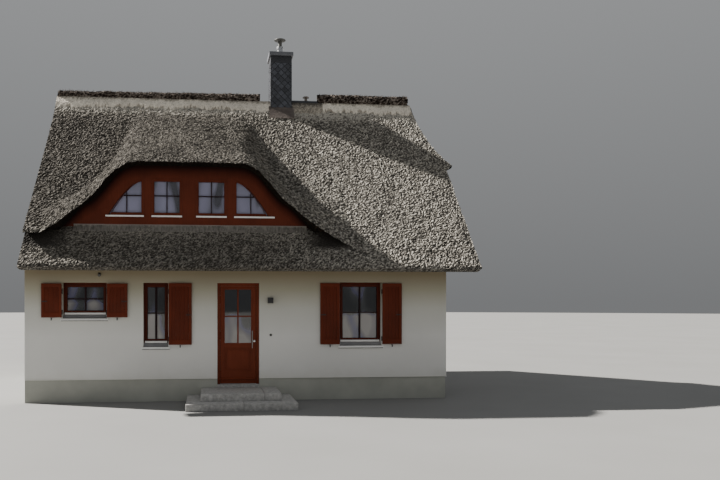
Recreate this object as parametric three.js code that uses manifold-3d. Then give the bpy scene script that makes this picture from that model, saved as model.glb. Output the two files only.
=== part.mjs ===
// Thatched cottage: the right-hand house of a pair, ending at a plain party wall on its left.
// Millimetres. While it is built, X runs along the front from the party wall's outer face,
// Y from the front wall's face to the back, and Z is up from the ground. The whole house is
// then moved so that the origin lies on the ground under the middle of the walls.
import * as THREE from "three";
import { mergeVertices } from "three/addons/utils/BufferGeometryUtils.js";
import Module from "manifold-3d";

const wasm = await Module();
wasm.setup();

// Driving dimensions
const GAP = 0.3;
const WIDTH = 9140;
const DEPTH = 6960;
const WALL = 360;
const PARTY_WALL = 240;
const FLOOR_TOP = 350;
const PLINTH_TOP = 480;
const PLINTH_INSET = 15;
const UPPER_FLOOR = [2850, 3100];
const WINDOW_DEPTH = 120;
const SILL = 40;

const PITCH = Math.tan(THREE.MathUtils.degToRad(48));
const EAVE = { y: -640, z: 2864.5 };
const EAVE_FOOT = { y: -254, z: 2800 };
const RIDGE_Y = DEPTH / 2;
const VERGE = 9730;
const THATCH = 330;
const HIP_TOP = [9280, 7450];
const HIP_BEND = [9345, 6160];
const HIP_TIP = [9910, 5550];
const HIP_THINNER = 140;
const SWELL = { from: 1900, rise: 140, rows: [1900, 2300, 2650, 2900] };
const RIDGE_TOP = 7470;
const CROWN = 160;
const TOP_LAYER = { foot: RIDGE_Y - 400, full: RIDGE_Y - 320, rise: 45 };
const ROLL = { height: 21, eave: [-200, 300], ridge: [2500, 3000], verge: [8200, 8900], backPhase: 2 };

const DORMER = {
  middle: 3430,
  lip: -200,
  lipCut: 300,
  thinner: 140,
  thinFrom: [250, 900],
  length: 3150,
  end: 6960,
  wingRise: 246,
  boardY: 180,
  board: 60,
  boardX: [700, 6150],
};
const FLANK = {
  away: [0, 1800],
  length: 3600,
  power: 1.6,
  blend: [300, 1300],
  valley: 150,
  end: [2600, 3200],
};
const APRON_DROP = 15;
const DORMER_GLASS_Z = [4060, 4775];
const DORMER_SILL_Z = 3980;
const DORMER_WINDOWS = [
  { x: [1766, 2430], slant: -1 },
  { x: [2670, 3250], slant: 0 },
  { x: [3630, 4220], slant: 0 },
  { x: [4455, 5120], slant: 1 },
];

const DOOR = { x: [4050, 4960], z: [FLOOR_TOP, 2550] };
const FRONT_WINDOWS = [
  { name: "window_small", x: [780, 1700], z: [1785, 2550] },
  { name: "window_tall", x: [2470, 3000], z: [1170, 2550] },
  { name: "window_right", x: [6735, 7670], z: [1175, 2570] },
];
const SHUTTERS = [
  { name: "shutter_small_left", hinge: 780, side: -1, width: 420, z: [1810, 2530] },
  { name: "shutter_small_right", hinge: 1700, side: 1, width: 430, z: [1810, 2530] },
  { name: "shutter_tall_right", hinge: 3000, side: 1, width: 490, z: [1220, 2542] },
  { name: "shutter_right_left", hinge: 6735, side: -1, width: 430, z: [1210, 2550] },
  { name: "shutter_right_right", hinge: 7670, side: 1, width: 435, z: [1210, 2550] },
];
const GABLE_WINDOWS = [
  { name: "gable_window_low", y: [3010, 3950], z: [1210, 2570] },
  { name: "gable_window_high", y: [3010, 3950], z: [4050, 5200] },
];
const BACK_WINDOWS = [
  { name: "back_window_left", x: [1470, 2405], z: [1210, 2570] },
  { name: "back_window_right", x: [6735, 7670], z: [1210, 2570] },
];

const CHIMNEY = { x: [5500, 6030], y: [RIDGE_Y - 310, RIDGE_Y + 310], top: 8630, cap: 70 };
const HEATHER = { left: [0, 5240], right: [6750, 9220] };
const HEATHER_HALF = [[178, 10], [168, 75], [122, 132], [62, 162], [0, 170]];
const SADDLE_HALF = [[CROWN, -8], [70, 35]];
const VENT_X = 6460;
const LOWER_STEP = { x: [3410, 5620], front: -1550, top: 140 };
const LANDING = { x: [3700, 5330], front: -1150, top: 290 };

// Finishes
function paint(color, roughness, metalness = 0) {
  return new THREE.MeshStandardMaterial({ color, roughness, metalness });
}

const render = () => paint(0xeeece6, 0.9);
const base = () => paint(0x6d7062, 0.9);
const redPaint = () => paint(0x7a1a12, 0.45);
const thatch = () => paint(0x6e675c, 0.95);
const heather = () => paint(0x3a2a20, 0.95);
const glass = () => paint(0x5c6b7a, 0.1);
const paleSill = () => paint(0xd9d8d2, 0.5);
const concrete = () => paint(0x8b8a86, 0.85);
const slate = () => paint(0x343b44, 0.6);
const steel = () => paint(0xb9bcbf, 0.3, 1);
const timber = () => paint(0x9a7b55, 0.8);
const black = () => paint(0x16171a, 0.5);

// Turning three.js geometry into solids and back
function toSolid(geometry) {
  const plain = geometry.clone();
  plain.deleteAttribute("normal");
  plain.deleteAttribute("uv");
  const merged = mergeVertices(plain, 0.001);
  return new wasm.Manifold(new wasm.Mesh({
    numProp: 3,
    vertProperties: new Float32Array(merged.attributes.position.array),
    triVerts: new Uint32Array(merged.index.array),
  }));
}

function toGeometry(solid) {
  const mesh = solid.getMesh();
  const geometry = new THREE.BufferGeometry();
  geometry.setAttribute("position", new THREE.BufferAttribute(mesh.vertProperties, 3));
  geometry.setIndex(new THREE.BufferAttribute(mesh.triVerts, 1));
  geometry.computeVertexNormals();
  return geometry;
}

function box([x0, x1], [y0, y1], [z0, z1]) {
  const geometry = new THREE.BoxGeometry(x1 - x0, y1 - y0, z1 - z0);
  geometry.translate((x0 + x1) / 2, (y0 + y1) / 2, (z0 + z1) / 2);
  return toSolid(geometry);
}

function shapeOf(points) {
  return new THREE.Shape(points.map(([a, b]) => new THREE.Vector2(a, b)));
}

function extrude(shape, depth) {
  return new THREE.ExtrudeGeometry(shape, { depth, bevelEnabled: false, curveSegments: 10 });
}

// A section drawn in Y and Z, run along X
function alongX(points, [x0, x1]) {
  const geometry = extrude(shapeOf(points), x1 - x0);
  const turn = new THREE.Matrix4().set(0, 0, 1, x0, 1, 0, 0, 0, 0, 1, 0, 0, 0, 0, 0, 1);
  return toSolid(geometry.applyMatrix4(turn));
}

// An outline drawn in X and Z, run along Y
function alongY(shape, [y0, y1]) {
  const geometry = extrude(shape, y1 - y0);
  const turn = new THREE.Matrix4().set(1, 0, 0, 0, 0, 0, -1, y1, 0, 1, 0, 0, 0, 0, 0, 1);
  return toSolid(geometry.applyMatrix4(turn));
}

// An outline drawn in X and Y, run upward
function alongZ(points, [z0, z1]) {
  const geometry = extrude(shapeOf(points), z1 - z0);
  return toSolid(geometry.translate(0, 0, z0));
}

function post(x, y, radius, [z0, z1]) {
  const geometry = new THREE.CylinderGeometry(radius, radius, z1 - z0, 16);
  geometry.rotateX(Math.PI / 2).translate(x, y, (z0 + z1) / 2);
  return toSolid(geometry);
}

function turned(profile) {
  const points = profile.map(([radius, height]) => new THREE.Vector2(radius, height));
  return toSolid(new THREE.LatheGeometry(points, 24).rotateX(Math.PI / 2));
}

// The house and how a piece is added to it
const cottage = new THREE.Group();
const house = new THREE.Group();
house.position.set(-WIDTH / 2, -DEPTH / 2, 0);
cottage.add(house);

function add(name, solid, material, parent = house) {
  const mesh = new THREE.Mesh(toGeometry(solid), material);
  mesh.name = name;
  parent.add(mesh);
}

// Roof planes
const outerZ = (y) => EAVE.z + PITCH * (y - EAVE.y);
const innerZ = (y) => EAVE_FOOT.z + PITCH * (y - EAVE_FOOT.y);
const SLOPE_GAP = GAP * 1.5;
const wallTop = (y) => innerZ(y) - SLOPE_GAP;
const apronZ = (y) => {
  const upper = outerZ(DORMER.boardY) - APRON_DROP;
  return EAVE.z + (upper - EAVE.z) * (y - EAVE.y) / (DORMER.boardY - EAVE.y);
};

// The thatch thickens towards the ridge, under a top layer bent over a rounded crown
function swell(y) {
  return SWELL.rise * Math.max(0, (y - SWELL.from) / (RIDGE_Y - SWELL.from)) ** 1.5;
}

function roofZ(y) {
  const flank = Math.min(y, RIDGE_Y - CROWN);
  const layer = THREE.MathUtils.clamp((flank - TOP_LAYER.foot) / (TOP_LAYER.full - TOP_LAYER.foot), 0, 1);
  const z = outerZ(flank) + swell(flank) + TOP_LAYER.rise * layer;
  return z + (RIDGE_TOP - z) * (y - flank) / CROWN;
}

const RIDGE_ROWS = [...SWELL.rows, TOP_LAYER.foot, TOP_LAYER.full, RIDGE_Y - CROWN];

// Gentle unevenness of a thatched slope, fading out at its edges
function roll(x, y, phase = 0) {
  const [u, v] = [x / 1000, y / 1000];
  const waves = 0.5 * Math.sin(3.1 * u + 1.7 * v + phase)
    + 0.3 * Math.sin(5.3 * u - 2.9 * v + 1.1 + phase)
    + 0.2 * Math.sin(1.9 * u + 6.7 * v + 2.3 - phase);
  const { smoothstep } = THREE.MathUtils;
  const inside = smoothstep(y, ...ROLL.eave) * (1 - smoothstep(y, ...ROLL.ridge));
  return ROLL.height * waves * inside * (1 - smoothstep(x, ...ROLL.verge));
}

// Half of the eyebrow's outline: distance from its middle, rise over the main slope
const BROW_TOP = 1776;
const SHOULDER = new THREE.CubicBezierCurve(
  new THREE.Vector2(1000, BROW_TOP),
  new THREE.Vector2(1550, BROW_TOP),
  new THREE.Vector2(1700, 1380),
  new THREE.Vector2(2070, 996),
);
const TAIL = new THREE.CubicBezierCurve(
  new THREE.Vector2(2070, 996),
  new THREE.Vector2(2400, 735),
  new THREE.Vector2(2900, 300),
  new THREE.Vector2(3530, 0),
);

function heightOn(curve, x) {
  let low = 0;
  let high = 1;
  for (let step = 0; step < 24; step += 1) {
    const middle = (low + high) / 2;
    if (curve.getPoint(middle).x < x) low = middle;
    else high = middle;
  }
  return curve.getPoint(high).y;
}

function browRise(x) {
  const away = Math.abs(x - DORMER.middle);
  if (away < SHOULDER.v0.x) return BROW_TOP;
  const rise = heightOn(away < TAIL.v0.x ? SHOULDER : TAIL, away);
  return x < DORMER.middle ? Math.max(rise, DORMER.wingRise) : rise;
}

// A value cut off below zero, with the corner rounded over a width on both sides
function floored(value, width) {
  if (value > width) return value;
  if (value < -width) return 0;
  return (value + width) ** 2 / (4 * width);
}

// Rise over the main slope. Near its lip the eyebrow shrinks evenly; further up its middle runs
// straight into the slope while its flanks sink in a curve, so it narrows towards the top.
function browLift(x, y) {
  const { smoothstep } = THREE.MathUtils;
  const rise = browRise(x);
  const inward = Math.max(y - DORMER.lip, 0);
  const straight = inward / DORMER.length;
  const bent = 1 - (1 - Math.min(inward / FLANK.length, 1)) ** FLANK.power;
  const onFlank = smoothstep(Math.abs(x - DORMER.middle), ...FLANK.away);
  const fall = BROW_TOP * (straight * (1 - onFlank) + bent * onFlank);
  const valley = FLANK.valley * Math.min(1, rise / 400) + GAP;
  const left = Math.max(1 - straight, 0);
  const sunk = smoothstep(inward, ...FLANK.blend);
  const wing = x < DORMER.middle ? DORMER.wingRise * left : 0;
  const lift = Math.max(rise * left * (1 - sunk) + floored(rise - fall, valley) * sunk, wing);
  return lift * (1 - smoothstep(y, ...FLANK.end));
}

const browZ = (x, y) => outerZ(y) + browLift(x, y);

// Vertical depth of the eyebrow's thatch, from its slope; it is thinner over the windows
function browDepth(x, y) {
  const thick = THATCH - DORMER.thinner * THREE.MathUtils.smoothstep(browRise(x), ...DORMER.thinFrom);
  const step = 20;
  const slopeX = (browZ(x + step, y) - browZ(x - step, y)) / (2 * step);
  const slopeY = (browZ(x, y + step) - browZ(x, y - step)) / (2 * step);
  return thick * Math.sqrt(1 + slopeX ** 2 + slopeY ** 2);
}

function browUnderZ(x, y) {
  const under = browZ(x, y) - browDepth(x, y);
  const rest = y <= DORMER.boardY ? apronZ(y) + SLOPE_GAP : innerZ(y);
  return Math.max(under, rest);
}

// A closed body between two grids of points with the same rows and columns
function bodyBetween(top, bottom) {
  const rows = top.length;
  const columns = top[0].length;
  const points = [...top.flat(), ...bottom.flat()];
  const at = (layer, row, column) => layer * rows * columns + row * columns + column;
  const triangles = [];
  const quad = (a, b, c, d) => triangles.push(a, b, c, a, c, d);
  for (let row = 0; row < rows - 1; row += 1) {
    for (let column = 0; column < columns - 1; column += 1) {
      const corner = (layer, dr, dc) => at(layer, row + dr, column + dc);
      quad(corner(0, 0, 0), corner(0, 0, 1), corner(0, 1, 1), corner(0, 1, 0));
      quad(corner(1, 0, 0), corner(1, 1, 0), corner(1, 1, 1), corner(1, 0, 1));
    }
  }
  for (let column = 0; column < columns - 1; column += 1) {
    const last = rows - 1;
    quad(at(0, 0, column), at(1, 0, column), at(1, 0, column + 1), at(0, 0, column + 1));
    quad(at(0, last, column), at(0, last, column + 1), at(1, last, column + 1), at(1, last, column));
  }
  for (let row = 0; row < rows - 1; row += 1) {
    const last = columns - 1;
    quad(at(0, row, 0), at(0, row + 1, 0), at(1, row + 1, 0), at(1, row, 0));
    quad(at(0, row, last), at(1, row, last), at(1, row + 1, last), at(0, row + 1, last));
  }
  const geometry = new THREE.BufferGeometry();
  geometry.setAttribute("position", new THREE.Float32BufferAttribute(points.flat(), 3));
  geometry.setIndex(triangles);
  return toSolid(geometry);
}

function evenly([start, end], count) {
  return Array.from({ length: count + 1 }, (_, index) => start + (end - start) * index / count);
}

// The thatch over the dormer, from the party wall to where the eyebrow dies out.
// A deeper and higher copy of it trims what stands under it.
function browThatch(drop = 0, lift = 0) {
  const columns = 46;
  const boardRow = DORMER.boardY;
  const ridgeRow = RIDGE_Y - GAP / 2;
  const upperRows = [300, 600, 1000, 1400, ...RIDGE_ROWS, ridgeRow];
  const outerRows = [DORMER.lip, -60, 60, boardRow, boardRow + GAP, ...upperRows];
  const innerRows = [DORMER.lip + DORMER.lipCut, 130, 155, boardRow, boardRow + GAP, ...upperRows];
  const places = evenly([0, DORMER.end], columns);
  const topZ = (x, y) => roofZ(y) + browLift(x, y) + roll(x, y) + lift;
  const top = outerRows.map((y) => places.map((x) => [x, y, topZ(x, y)]));
  const bottom = innerRows.map((y) => places.map((x) => [x, y, browUnderZ(x, y) - drop]));
  return bodyBetween(top, bottom);
}

// A slope without the eyebrow, from the eave to the ridge
function plainSlope(places, phase, turn) {
  const outerRows = [EAVE.y, -200, 100, 500, 950, 1400, ...RIDGE_ROWS, RIDGE_Y - GAP / 2];
  const innerRows = [EAVE_FOOT.y, -150, ...outerRows.slice(2)];
  const top = outerRows.map((y) => places.map((x) => turn([x, y, roofZ(y) + roll(x, y, phase)])));
  const bottom = innerRows.map((y) => places.map((x) => turn([x, y, innerZ(y)])));
  return bodyBetween(top, bottom);
}

// The half-hip's curved section, and the space outside it that trims the roof and the gable.
// Its underside comes nearer towards the tip, where the reed is cut thin.
function hipCurve(inward) {
  const curve = new THREE.QuadraticBezierCurve(
    new THREE.Vector2(...HIP_TOP),
    new THREE.Vector2(...HIP_BEND),
    new THREE.Vector2(...HIP_TIP),
  );
  const points = [];
  const steps = 10;
  for (let step = 0; step <= steps; step += 1) {
    const point = curve.getPoint(step / steps);
    const along = curve.getTangent(step / steps);
    const thinner = HIP_THINNER * THREE.MathUtils.smoothstep(step / steps, 0.45, 1);
    const depth = Math.max(inward - thinner, 0);
    points.push([point.x + along.y * depth, point.y - along.x * depth]);
  }
  return points;
}

const ABOVE_ROOF = 7900;

function hipSection() {
  const outer = hipCurve(0).map(([x, z]) => [x, z + swell(EAVE.y + (z - EAVE.z) / PITCH)]);
  const inner = hipCurve(THATCH);
  const top = [[inner[0][0], ABOVE_ROOF], [outer[0][0], ABOVE_ROOF]];
  return shapeOf([...top, ...outer, ...inner.reverse()]);
}

function outsideHip() {
  const inner = hipCurve(THATCH + GAP);
  const [footX, footZ] = inner[inner.length - 1];
  const [tipX, tipZ] = hipCurve(0).pop();
  const reach = 2;
  const beyond = [footX + (tipX - footX) * reach, footZ + (tipZ - footZ) * reach - GAP];
  const foot = [footX, footZ - GAP];
  const corner = [beyond[0], ABOVE_ROOF];
  const start = [inner[0][0], ABOVE_ROOF];
  return alongY(shapeOf([start, ...inner, foot, beyond, corner]), [-1000, DEPTH + 1000]);
}

const hipSpace = outsideHip();
const chimneyShaft = box(
  [CHIMNEY.x[0] - GAP, CHIMNEY.x[1] + GAP],
  [CHIMNEY.y[0] - GAP, CHIMNEY.y[1] + GAP],
  [FLOOR_TOP, CHIMNEY.top],
);
const browSpace = browThatch(SLOPE_GAP, 1200);
const mirrored = ([y, z]) => [DEPTH - y, z];

function addThatch() {
  const frontPlaces = evenly([DORMER.end + GAP, VERGE], 6);
  const front = plainSlope(frontPlaces, 0, (point) => point).subtract(hipSpace);
  const backPlaces = evenly([VERGE, 0], 22);
  const back = plainSlope(backPlaces, ROLL.backPhase, ([x, y, z]) => [x, DEPTH - y, z]).subtract(hipSpace);
  const apron = alongX([
    [EAVE.y, EAVE.z],
    [DORMER.boardY - GAP, apronZ(DORMER.boardY - GAP)],
    [DORMER.boardY - GAP, innerZ(DORMER.boardY - GAP)],
    [EAVE_FOOT.y, EAVE_FOOT.z],
  ], [0, DORMER.end]);
  const roofLine = [EAVE.y, ...RIDGE_ROWS].map((y) => [y, roofZ(y)]);
  const gableSpace = alongX([
    ...roofLine, [RIDGE_Y, RIDGE_TOP], ...roofLine.map(mirrored).reverse(),
  ], [WIDTH - 1000, WIDTH + 1000]);
  add("thatch_front", front, thatch());
  add("thatch_dormer", browThatch().subtract(chimneyShaft), thatch());
  add("thatch_apron", apron, thatch());
  add("thatch_back", back.subtract(chimneyShaft), thatch());
  add("thatch_half_hip", alongY(hipSection(), [0, DEPTH]).intersect(gableSpace), thatch());
}

// Ridge: two rolls of heather and a metal saddle between them
function ridgeSection(half) {
  const left = half.map(([offset, height]) => [RIDGE_Y - offset, RIDGE_TOP + height]);
  const right = left.filter(([y]) => y < RIDGE_Y).map(mirrored).reverse();
  const foot = [RIDGE_Y - CROWN, roofZ(RIDGE_Y - CROWN) + SLOPE_GAP];
  return [...left, ...right, mirrored(foot), [RIDGE_Y, RIDGE_TOP + SLOPE_GAP], foot];
}

function addRidge() {
  const section = ridgeSection(HEATHER_HALF);
  add("ridge_heather_left", alongX(section, HEATHER.left), heather());
  add("ridge_heather_right", alongX(section, HEATHER.right), heather());
  const saddleX = [CHIMNEY.x[1] + GAP, HEATHER.right[0] - GAP];
  add("ridge_saddle", alongX(ridgeSection(SADDLE_HALF), saddleX), steel());
  const vent = turned([[0, 0], [38, 0], [38, 95], [88, 100], [80, 122], [0, 142]]);
  const saddleTop = RIDGE_TOP + SADDLE_HALF[SADDLE_HALF.length - 1][1];
  add("vent_pipe", vent.translate(VENT_X, RIDGE_Y, saddleTop + GAP), steel());
}

function addChimney() {
  const stack = box(CHIMNEY.x, CHIMNEY.y, [FLOOR_TOP + GAP, CHIMNEY.top - GAP]);
  add("chimney_stack", stack, slate());
  const lip = 35;
  const capTop = CHIMNEY.top + CHIMNEY.cap;
  const cap = box(
    [CHIMNEY.x[0] - lip, CHIMNEY.x[1] + lip],
    [CHIMNEY.y[0] - lip, CHIMNEY.y[1] + lip],
    [CHIMNEY.top, capTop],
  );
  add("chimney_cap", cap, slate());
  const cowl = turned([
    [0, 0], [100, 0], [100, 25], [72, 30], [72, 190], [92, 200], [92, 225],
    [50, 235], [50, 398], [152, 408], [155, 420], [60, 447], [0, 455],
  ]);
  const middleX = (CHIMNEY.x[0] + CHIMNEY.x[1]) / 2;
  add("chimney_cowl", cowl.translate(middleX, RIDGE_Y, capTop + GAP), steel());
}

// Ground works
function addBase() {
  const outline = box([0, WIDTH - PLINTH_INSET], [PLINTH_INSET, DEPTH - PLINTH_INSET], [0, PLINTH_TOP]);
  const room = box([PARTY_WALL, WIDTH - WALL], [WALL, DEPTH - WALL], [-1, PLINTH_TOP + 1]);
  const doorway = box(DOOR.x, [0, WALL + 1], [-1, PLINTH_TOP + 1]);
  add("plinth", outline.subtract(room).subtract(doorway), base());
  const left = PARTY_WALL + GAP;
  const right = WIDTH - WALL - GAP;
  const front = WALL + GAP;
  const back = DEPTH - WALL - GAP;
  const tongue = [DOOR.x[0] + GAP, DOOR.x[1] - GAP];
  const slab = alongZ([
    [left, front], [tongue[0], front], [tongue[0], PLINTH_INSET], [tongue[1], PLINTH_INSET],
    [tongue[1], front], [right, front], [right, back], [left, back],
  ], [0, FLOOR_TOP]);
  add("ground_floor", slab, concrete());
  const stepBack = PLINTH_INSET - GAP;
  const lower = box(LOWER_STEP.x, [LOWER_STEP.front, stepBack], [0, LOWER_STEP.top]);
  const landing = box(LANDING.x, [LANDING.front, stepBack], [LOWER_STEP.top + GAP, LANDING.top]);
  add("lower_step", lower, concrete());
  add("landing_step", landing, concrete());
}

// Shutter hinges: the leaf turns on a knuckle that sits on a peg built into the wall
const HINGE = { out: 14, radius: 8, height: 40, inset: 130 };
const LEAF = { edge: 10, near: 12, thick: 28 };

function hingeHeights([z0, z1]) {
  const inset = Math.min(HINGE.inset, (z1 - z0) / 6);
  return [z0 + inset, z1 - inset - HINGE.height];
}

function shutterPegs(shutter) {
  const { hinge, side } = shutter;
  const across = [hinge - 4 * side, hinge + 12 * side].sort((a, b) => a - b);
  return hingeHeights(shutter.z).map((z) => {
    return box(across, [-HINGE.out - 6, 5], [z - 30, z - GAP]);
  });
}

function shutterLeaf(shutter) {
  const { side, width, z } = shutter;
  const span = (near, far) => [near * side, far * side].sort((a, b) => a - b);
  const depth = [-LEAF.near - LEAF.thick, -LEAF.near];
  const stile = 62;
  const recess = 8;
  let leaf = box(span(LEAF.edge, LEAF.edge + width), depth, z);
  const panelX = span(LEAF.edge + stile, LEAF.edge + width - stile);
  const panelZ = [z[0] + 110, z[1] - 75];
  leaf = leaf.subtract(box(panelX, [depth[0] - 1, depth[0] + recess], panelZ));
  leaf = leaf.subtract(box(panelX, [depth[1] - recess, depth[1] + 1], panelZ));
  for (const low of hingeHeights(z)) {
    const high = low + HINGE.height;
    leaf = leaf.add(post(0, 0, HINGE.radius, [low, high]));
    leaf = leaf.add(box(span(0, LEAF.edge + stile), [-LEAF.near - 2, -4], [low, high]));
  }
  return leaf;
}

function addShutters() {
  for (const shutter of SHUTTERS) {
    const hanging = new THREE.Group();
    hanging.position.set(shutter.hinge, -HINGE.out, 0);
    house.add(hanging);
    add(shutter.name, shutterLeaf(shutter), redPaint(), hanging);
  }
}

// Walls
function frontSection(z0) {
  return [[0, z0], [WALL, z0], [WALL, wallTop(WALL)], [0, wallTop(0)]];
}

function windowHole({ x, z }, depth) {
  return box(x, [-1, depth + 1], [z[0] - SILL, z[1]]);
}

function addFrontWall() {
  let left = alongX(frontSection(PLINTH_TOP + GAP), [0, DOOR.x[0]]);
  let right = alongX(frontSection(PLINTH_TOP + GAP), [DOOR.x[1], WIDTH]);
  for (const opening of FRONT_WINDOWS) {
    left = left.subtract(windowHole(opening, WALL));
    right = right.subtract(windowHole(opening, WALL));
  }
  for (const shutter of SHUTTERS) {
    for (const peg of shutterPegs(shutter)) {
      if (shutter.hinge < DOOR.x[0]) left = left.add(peg);
      else right = right.add(peg);
    }
  }
  add("front_wall_left", left, render());
  add("front_wall_right", right, render());
  const lintel = alongX(frontSection(DOOR.z[1]), [DOOR.x[0] + GAP, DOOR.x[1] - GAP]);
  add("front_wall_over_door", lintel, render());
}

function addOtherWalls() {
  const foot = PLINTH_TOP + GAP;
  const near = WALL + GAP;
  const far = DEPTH - near;
  let gable = alongX([
    [near, foot], [far, foot], [far, wallTop(near)],
    [RIDGE_Y, wallTop(RIDGE_Y)], [near, wallTop(near)],
  ], [WIDTH - WALL, WIDTH]).subtract(hipSpace);
  for (const { y, z } of GABLE_WINDOWS) {
    gable = gable.subtract(box([WIDTH - WALL - 1, WIDTH + 1], y, [z[0] - SILL, z[1]]));
  }
  add("gable_wall", gable, render());

  let back = alongX(frontSection(foot).map(mirrored), [0, WIDTH]);
  for (const { x, z } of BACK_WINDOWS) {
    back = back.subtract(box(x, [DEPTH - WALL - 1, DEPTH + 1], [z[0] - SILL, z[1]]));
  }
  add("back_wall", back, render());

  const party = alongX([
    [near, foot], [far, foot], [far, wallTop(near)],
    [RIDGE_Y, wallTop(RIDGE_Y)], [near, wallTop(near) + DORMER.wingRise],
  ], [0, PARTY_WALL]).subtract(browSpace);
  add("party_wall", party, render());
}

function addUpperFloor() {
  const slab = box(
    [PARTY_WALL + GAP, WIDTH - WALL - GAP],
    [WALL + GAP, DEPTH - WALL - GAP],
    UPPER_FLOOR,
  );
  add("upper_floor", slab.subtract(chimneyShaft), timber());
}

// One window in its opening. Locally x runs along the wall and y goes into it.
function addWindow(name, width, height, place, turn, ownSill) {
  const group = new THREE.Group();
  group.position.copy(place);
  group.rotation.z = turn;
  house.add(group);
  const rail = 62;
  const frameY = [WINDOW_DEPTH, WINDOW_DEPTH + 65];
  const glassY = [WINDOW_DEPTH + 25, WINDOW_DEPTH + 45];
  const opening = box([rail, width - rail], [0, WALL], [rail, height - rail]);
  let frame = box([GAP, width - GAP], frameY, [GAP, height - GAP]).subtract(opening);
  const lip = 38;
  const nose = -45;
  const sill = alongZ([
    [-lip, nose], [width + lip, nose], [width + lip, -GAP], [width - GAP, -GAP],
    [width - GAP, frameY[0] + 40], [GAP, frameY[0] + 40], [GAP, -GAP], [-lip, -GAP],
  ], [-SILL + GAP, 0]);
  if (ownSill) add(`${name}_sill`, sill, paleSill(), group);
  else frame = frame.add(sill.translate(0, 0, 2 * GAP));
  add(`${name}_frame`, frame, redPaint(), group);
  const pane = box(
    [rail + GAP, width - rail - GAP], glassY, [rail + GAP, height - rail - GAP],
  );
  add(`${name}_glass`, pane, glass(), group);
}

function addWindows() {
  for (const { name, x, z } of FRONT_WINDOWS) {
    addWindow(name, x[1] - x[0], z[1] - z[0], new THREE.Vector3(x[0], 0, z[0]), 0, true);
  }
  for (const { name, y, z } of GABLE_WINDOWS) {
    const place = new THREE.Vector3(WIDTH, y[0], z[0]);
    addWindow(name, y[1] - y[0], z[1] - z[0], place, Math.PI / 2, false);
  }
  for (const { name, x, z } of BACK_WINDOWS) {
    const place = new THREE.Vector3(x[1], DEPTH, z[0]);
    addWindow(name, x[1] - x[0], z[1] - z[0], place, Math.PI, false);
  }
}

// Front door, hung on its left edge and opening inward
const FRAME = { rail: 60, y: [100, 175] };
const DOOR_LEAF = { x: [4116, 4890], y: [105, 165], z: [362, 2484] };
const DOOR_HINGE = { x: 4112, y: 187, radius: 9, height: 80, z: [560, 1400, 2180] };
const DOOR_PANE = { x: [4200, 4800], z: [1230, 2420] };
const DOOR_PANEL = { x: [4200, 4800], z: [620, 1150] };

function addDoorFrame() {
  const [x0, x1] = [DOOR.x[0] + GAP, DOOR.x[1] - GAP];
  const top = DOOR.z[1] - GAP;
  const foot = DOOR.z[0] + GAP;
  const { rail } = FRAME;
  const outline = shapeOf([
    [x0, foot], [x0 + rail, foot], [x0 + rail, top - rail], [x1 - rail, top - rail],
    [x1 - rail, foot], [x1, foot], [x1, top], [x0, top],
  ]);
  let frame = alongY(outline, FRAME.y);
  for (const z of DOOR_HINGE.z) {
    const span = [z - DOOR_HINGE.height, z - GAP];
    frame = frame.add(post(DOOR_HINGE.x, DOOR_HINGE.y, DOOR_HINGE.radius, span));
    frame = frame.add(box([DOOR_HINGE.x - 25, DOOR_HINGE.x], [FRAME.y[1] - 5, DOOR_HINGE.y + 3], span));
  }
  add("door_frame", frame, redPaint());
}

function addDoorLeaf() {
  const { x, y, z } = DOOR_LEAF;
  let leaf = box(x, y, z);
  leaf = leaf.subtract(box(DOOR_PANE.x, [0, WALL], DOOR_PANE.z));
  leaf = leaf.subtract(box(DOOR_PANEL.x, [0, y[0] + 15], DOOR_PANEL.z));
  for (const low of DOOR_HINGE.z) {
    const span = [low, low + DOOR_HINGE.height];
    leaf = leaf.add(post(DOOR_HINGE.x, DOOR_HINGE.y, DOOR_HINGE.radius, span));
    leaf = leaf.add(box([DOOR_HINGE.x, DOOR_HINGE.x + 40], [y[1] - 3, DOOR_HINGE.y], span));
  }
  add("door_leaf", leaf, redPaint());
  const paneX = [DOOR_PANE.x[0] + GAP, DOOR_PANE.x[1] - GAP];
  const paneZ = [DOOR_PANE.z[0] + GAP, DOOR_PANE.z[1] - GAP];
  add("door_glass", box(paneX, [y[0] + 20, y[0] + 40], paneZ), glass());
  const barX = 4812;
  const barY = y[0] - 45;
  let bar = post(barX, barY, 11, [1130, 1510]);
  for (const height of [1190, 1450]) {
    bar = bar.add(box([barX - 7, barX + 7], [barY, y[0] - GAP], [height - 7, height + 7]));
  }
  add("door_handle", bar, steel());
}

// Dormer front: a red board with four windows, the outer two cut to the eyebrow's curve
function dormerPane({ x, slant }, grow) {
  const [z0, z1] = [DORMER_GLASS_Z[0] - grow, DORMER_GLASS_Z[1] + grow];
  const [x0, x1] = [x[0] - grow, x[1] + grow];
  const shape = new THREE.Shape();
  if (slant === 0) return shapeOf([[x0, z0], [x1, z0], [x1, z1], [x0, z1]]);
  const tall = slant < 0 ? x1 : x0;
  const low = slant < 0 ? x0 - grow * 0.6 : x1 + grow * 0.6;
  const bend = low + (tall - low) * 0.62;
  shape.moveTo(tall, z0);
  shape.lineTo(tall, z1);
  shape.quadraticCurveTo(bend, z1 - 30, low, z0);
  return shape;
}

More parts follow.
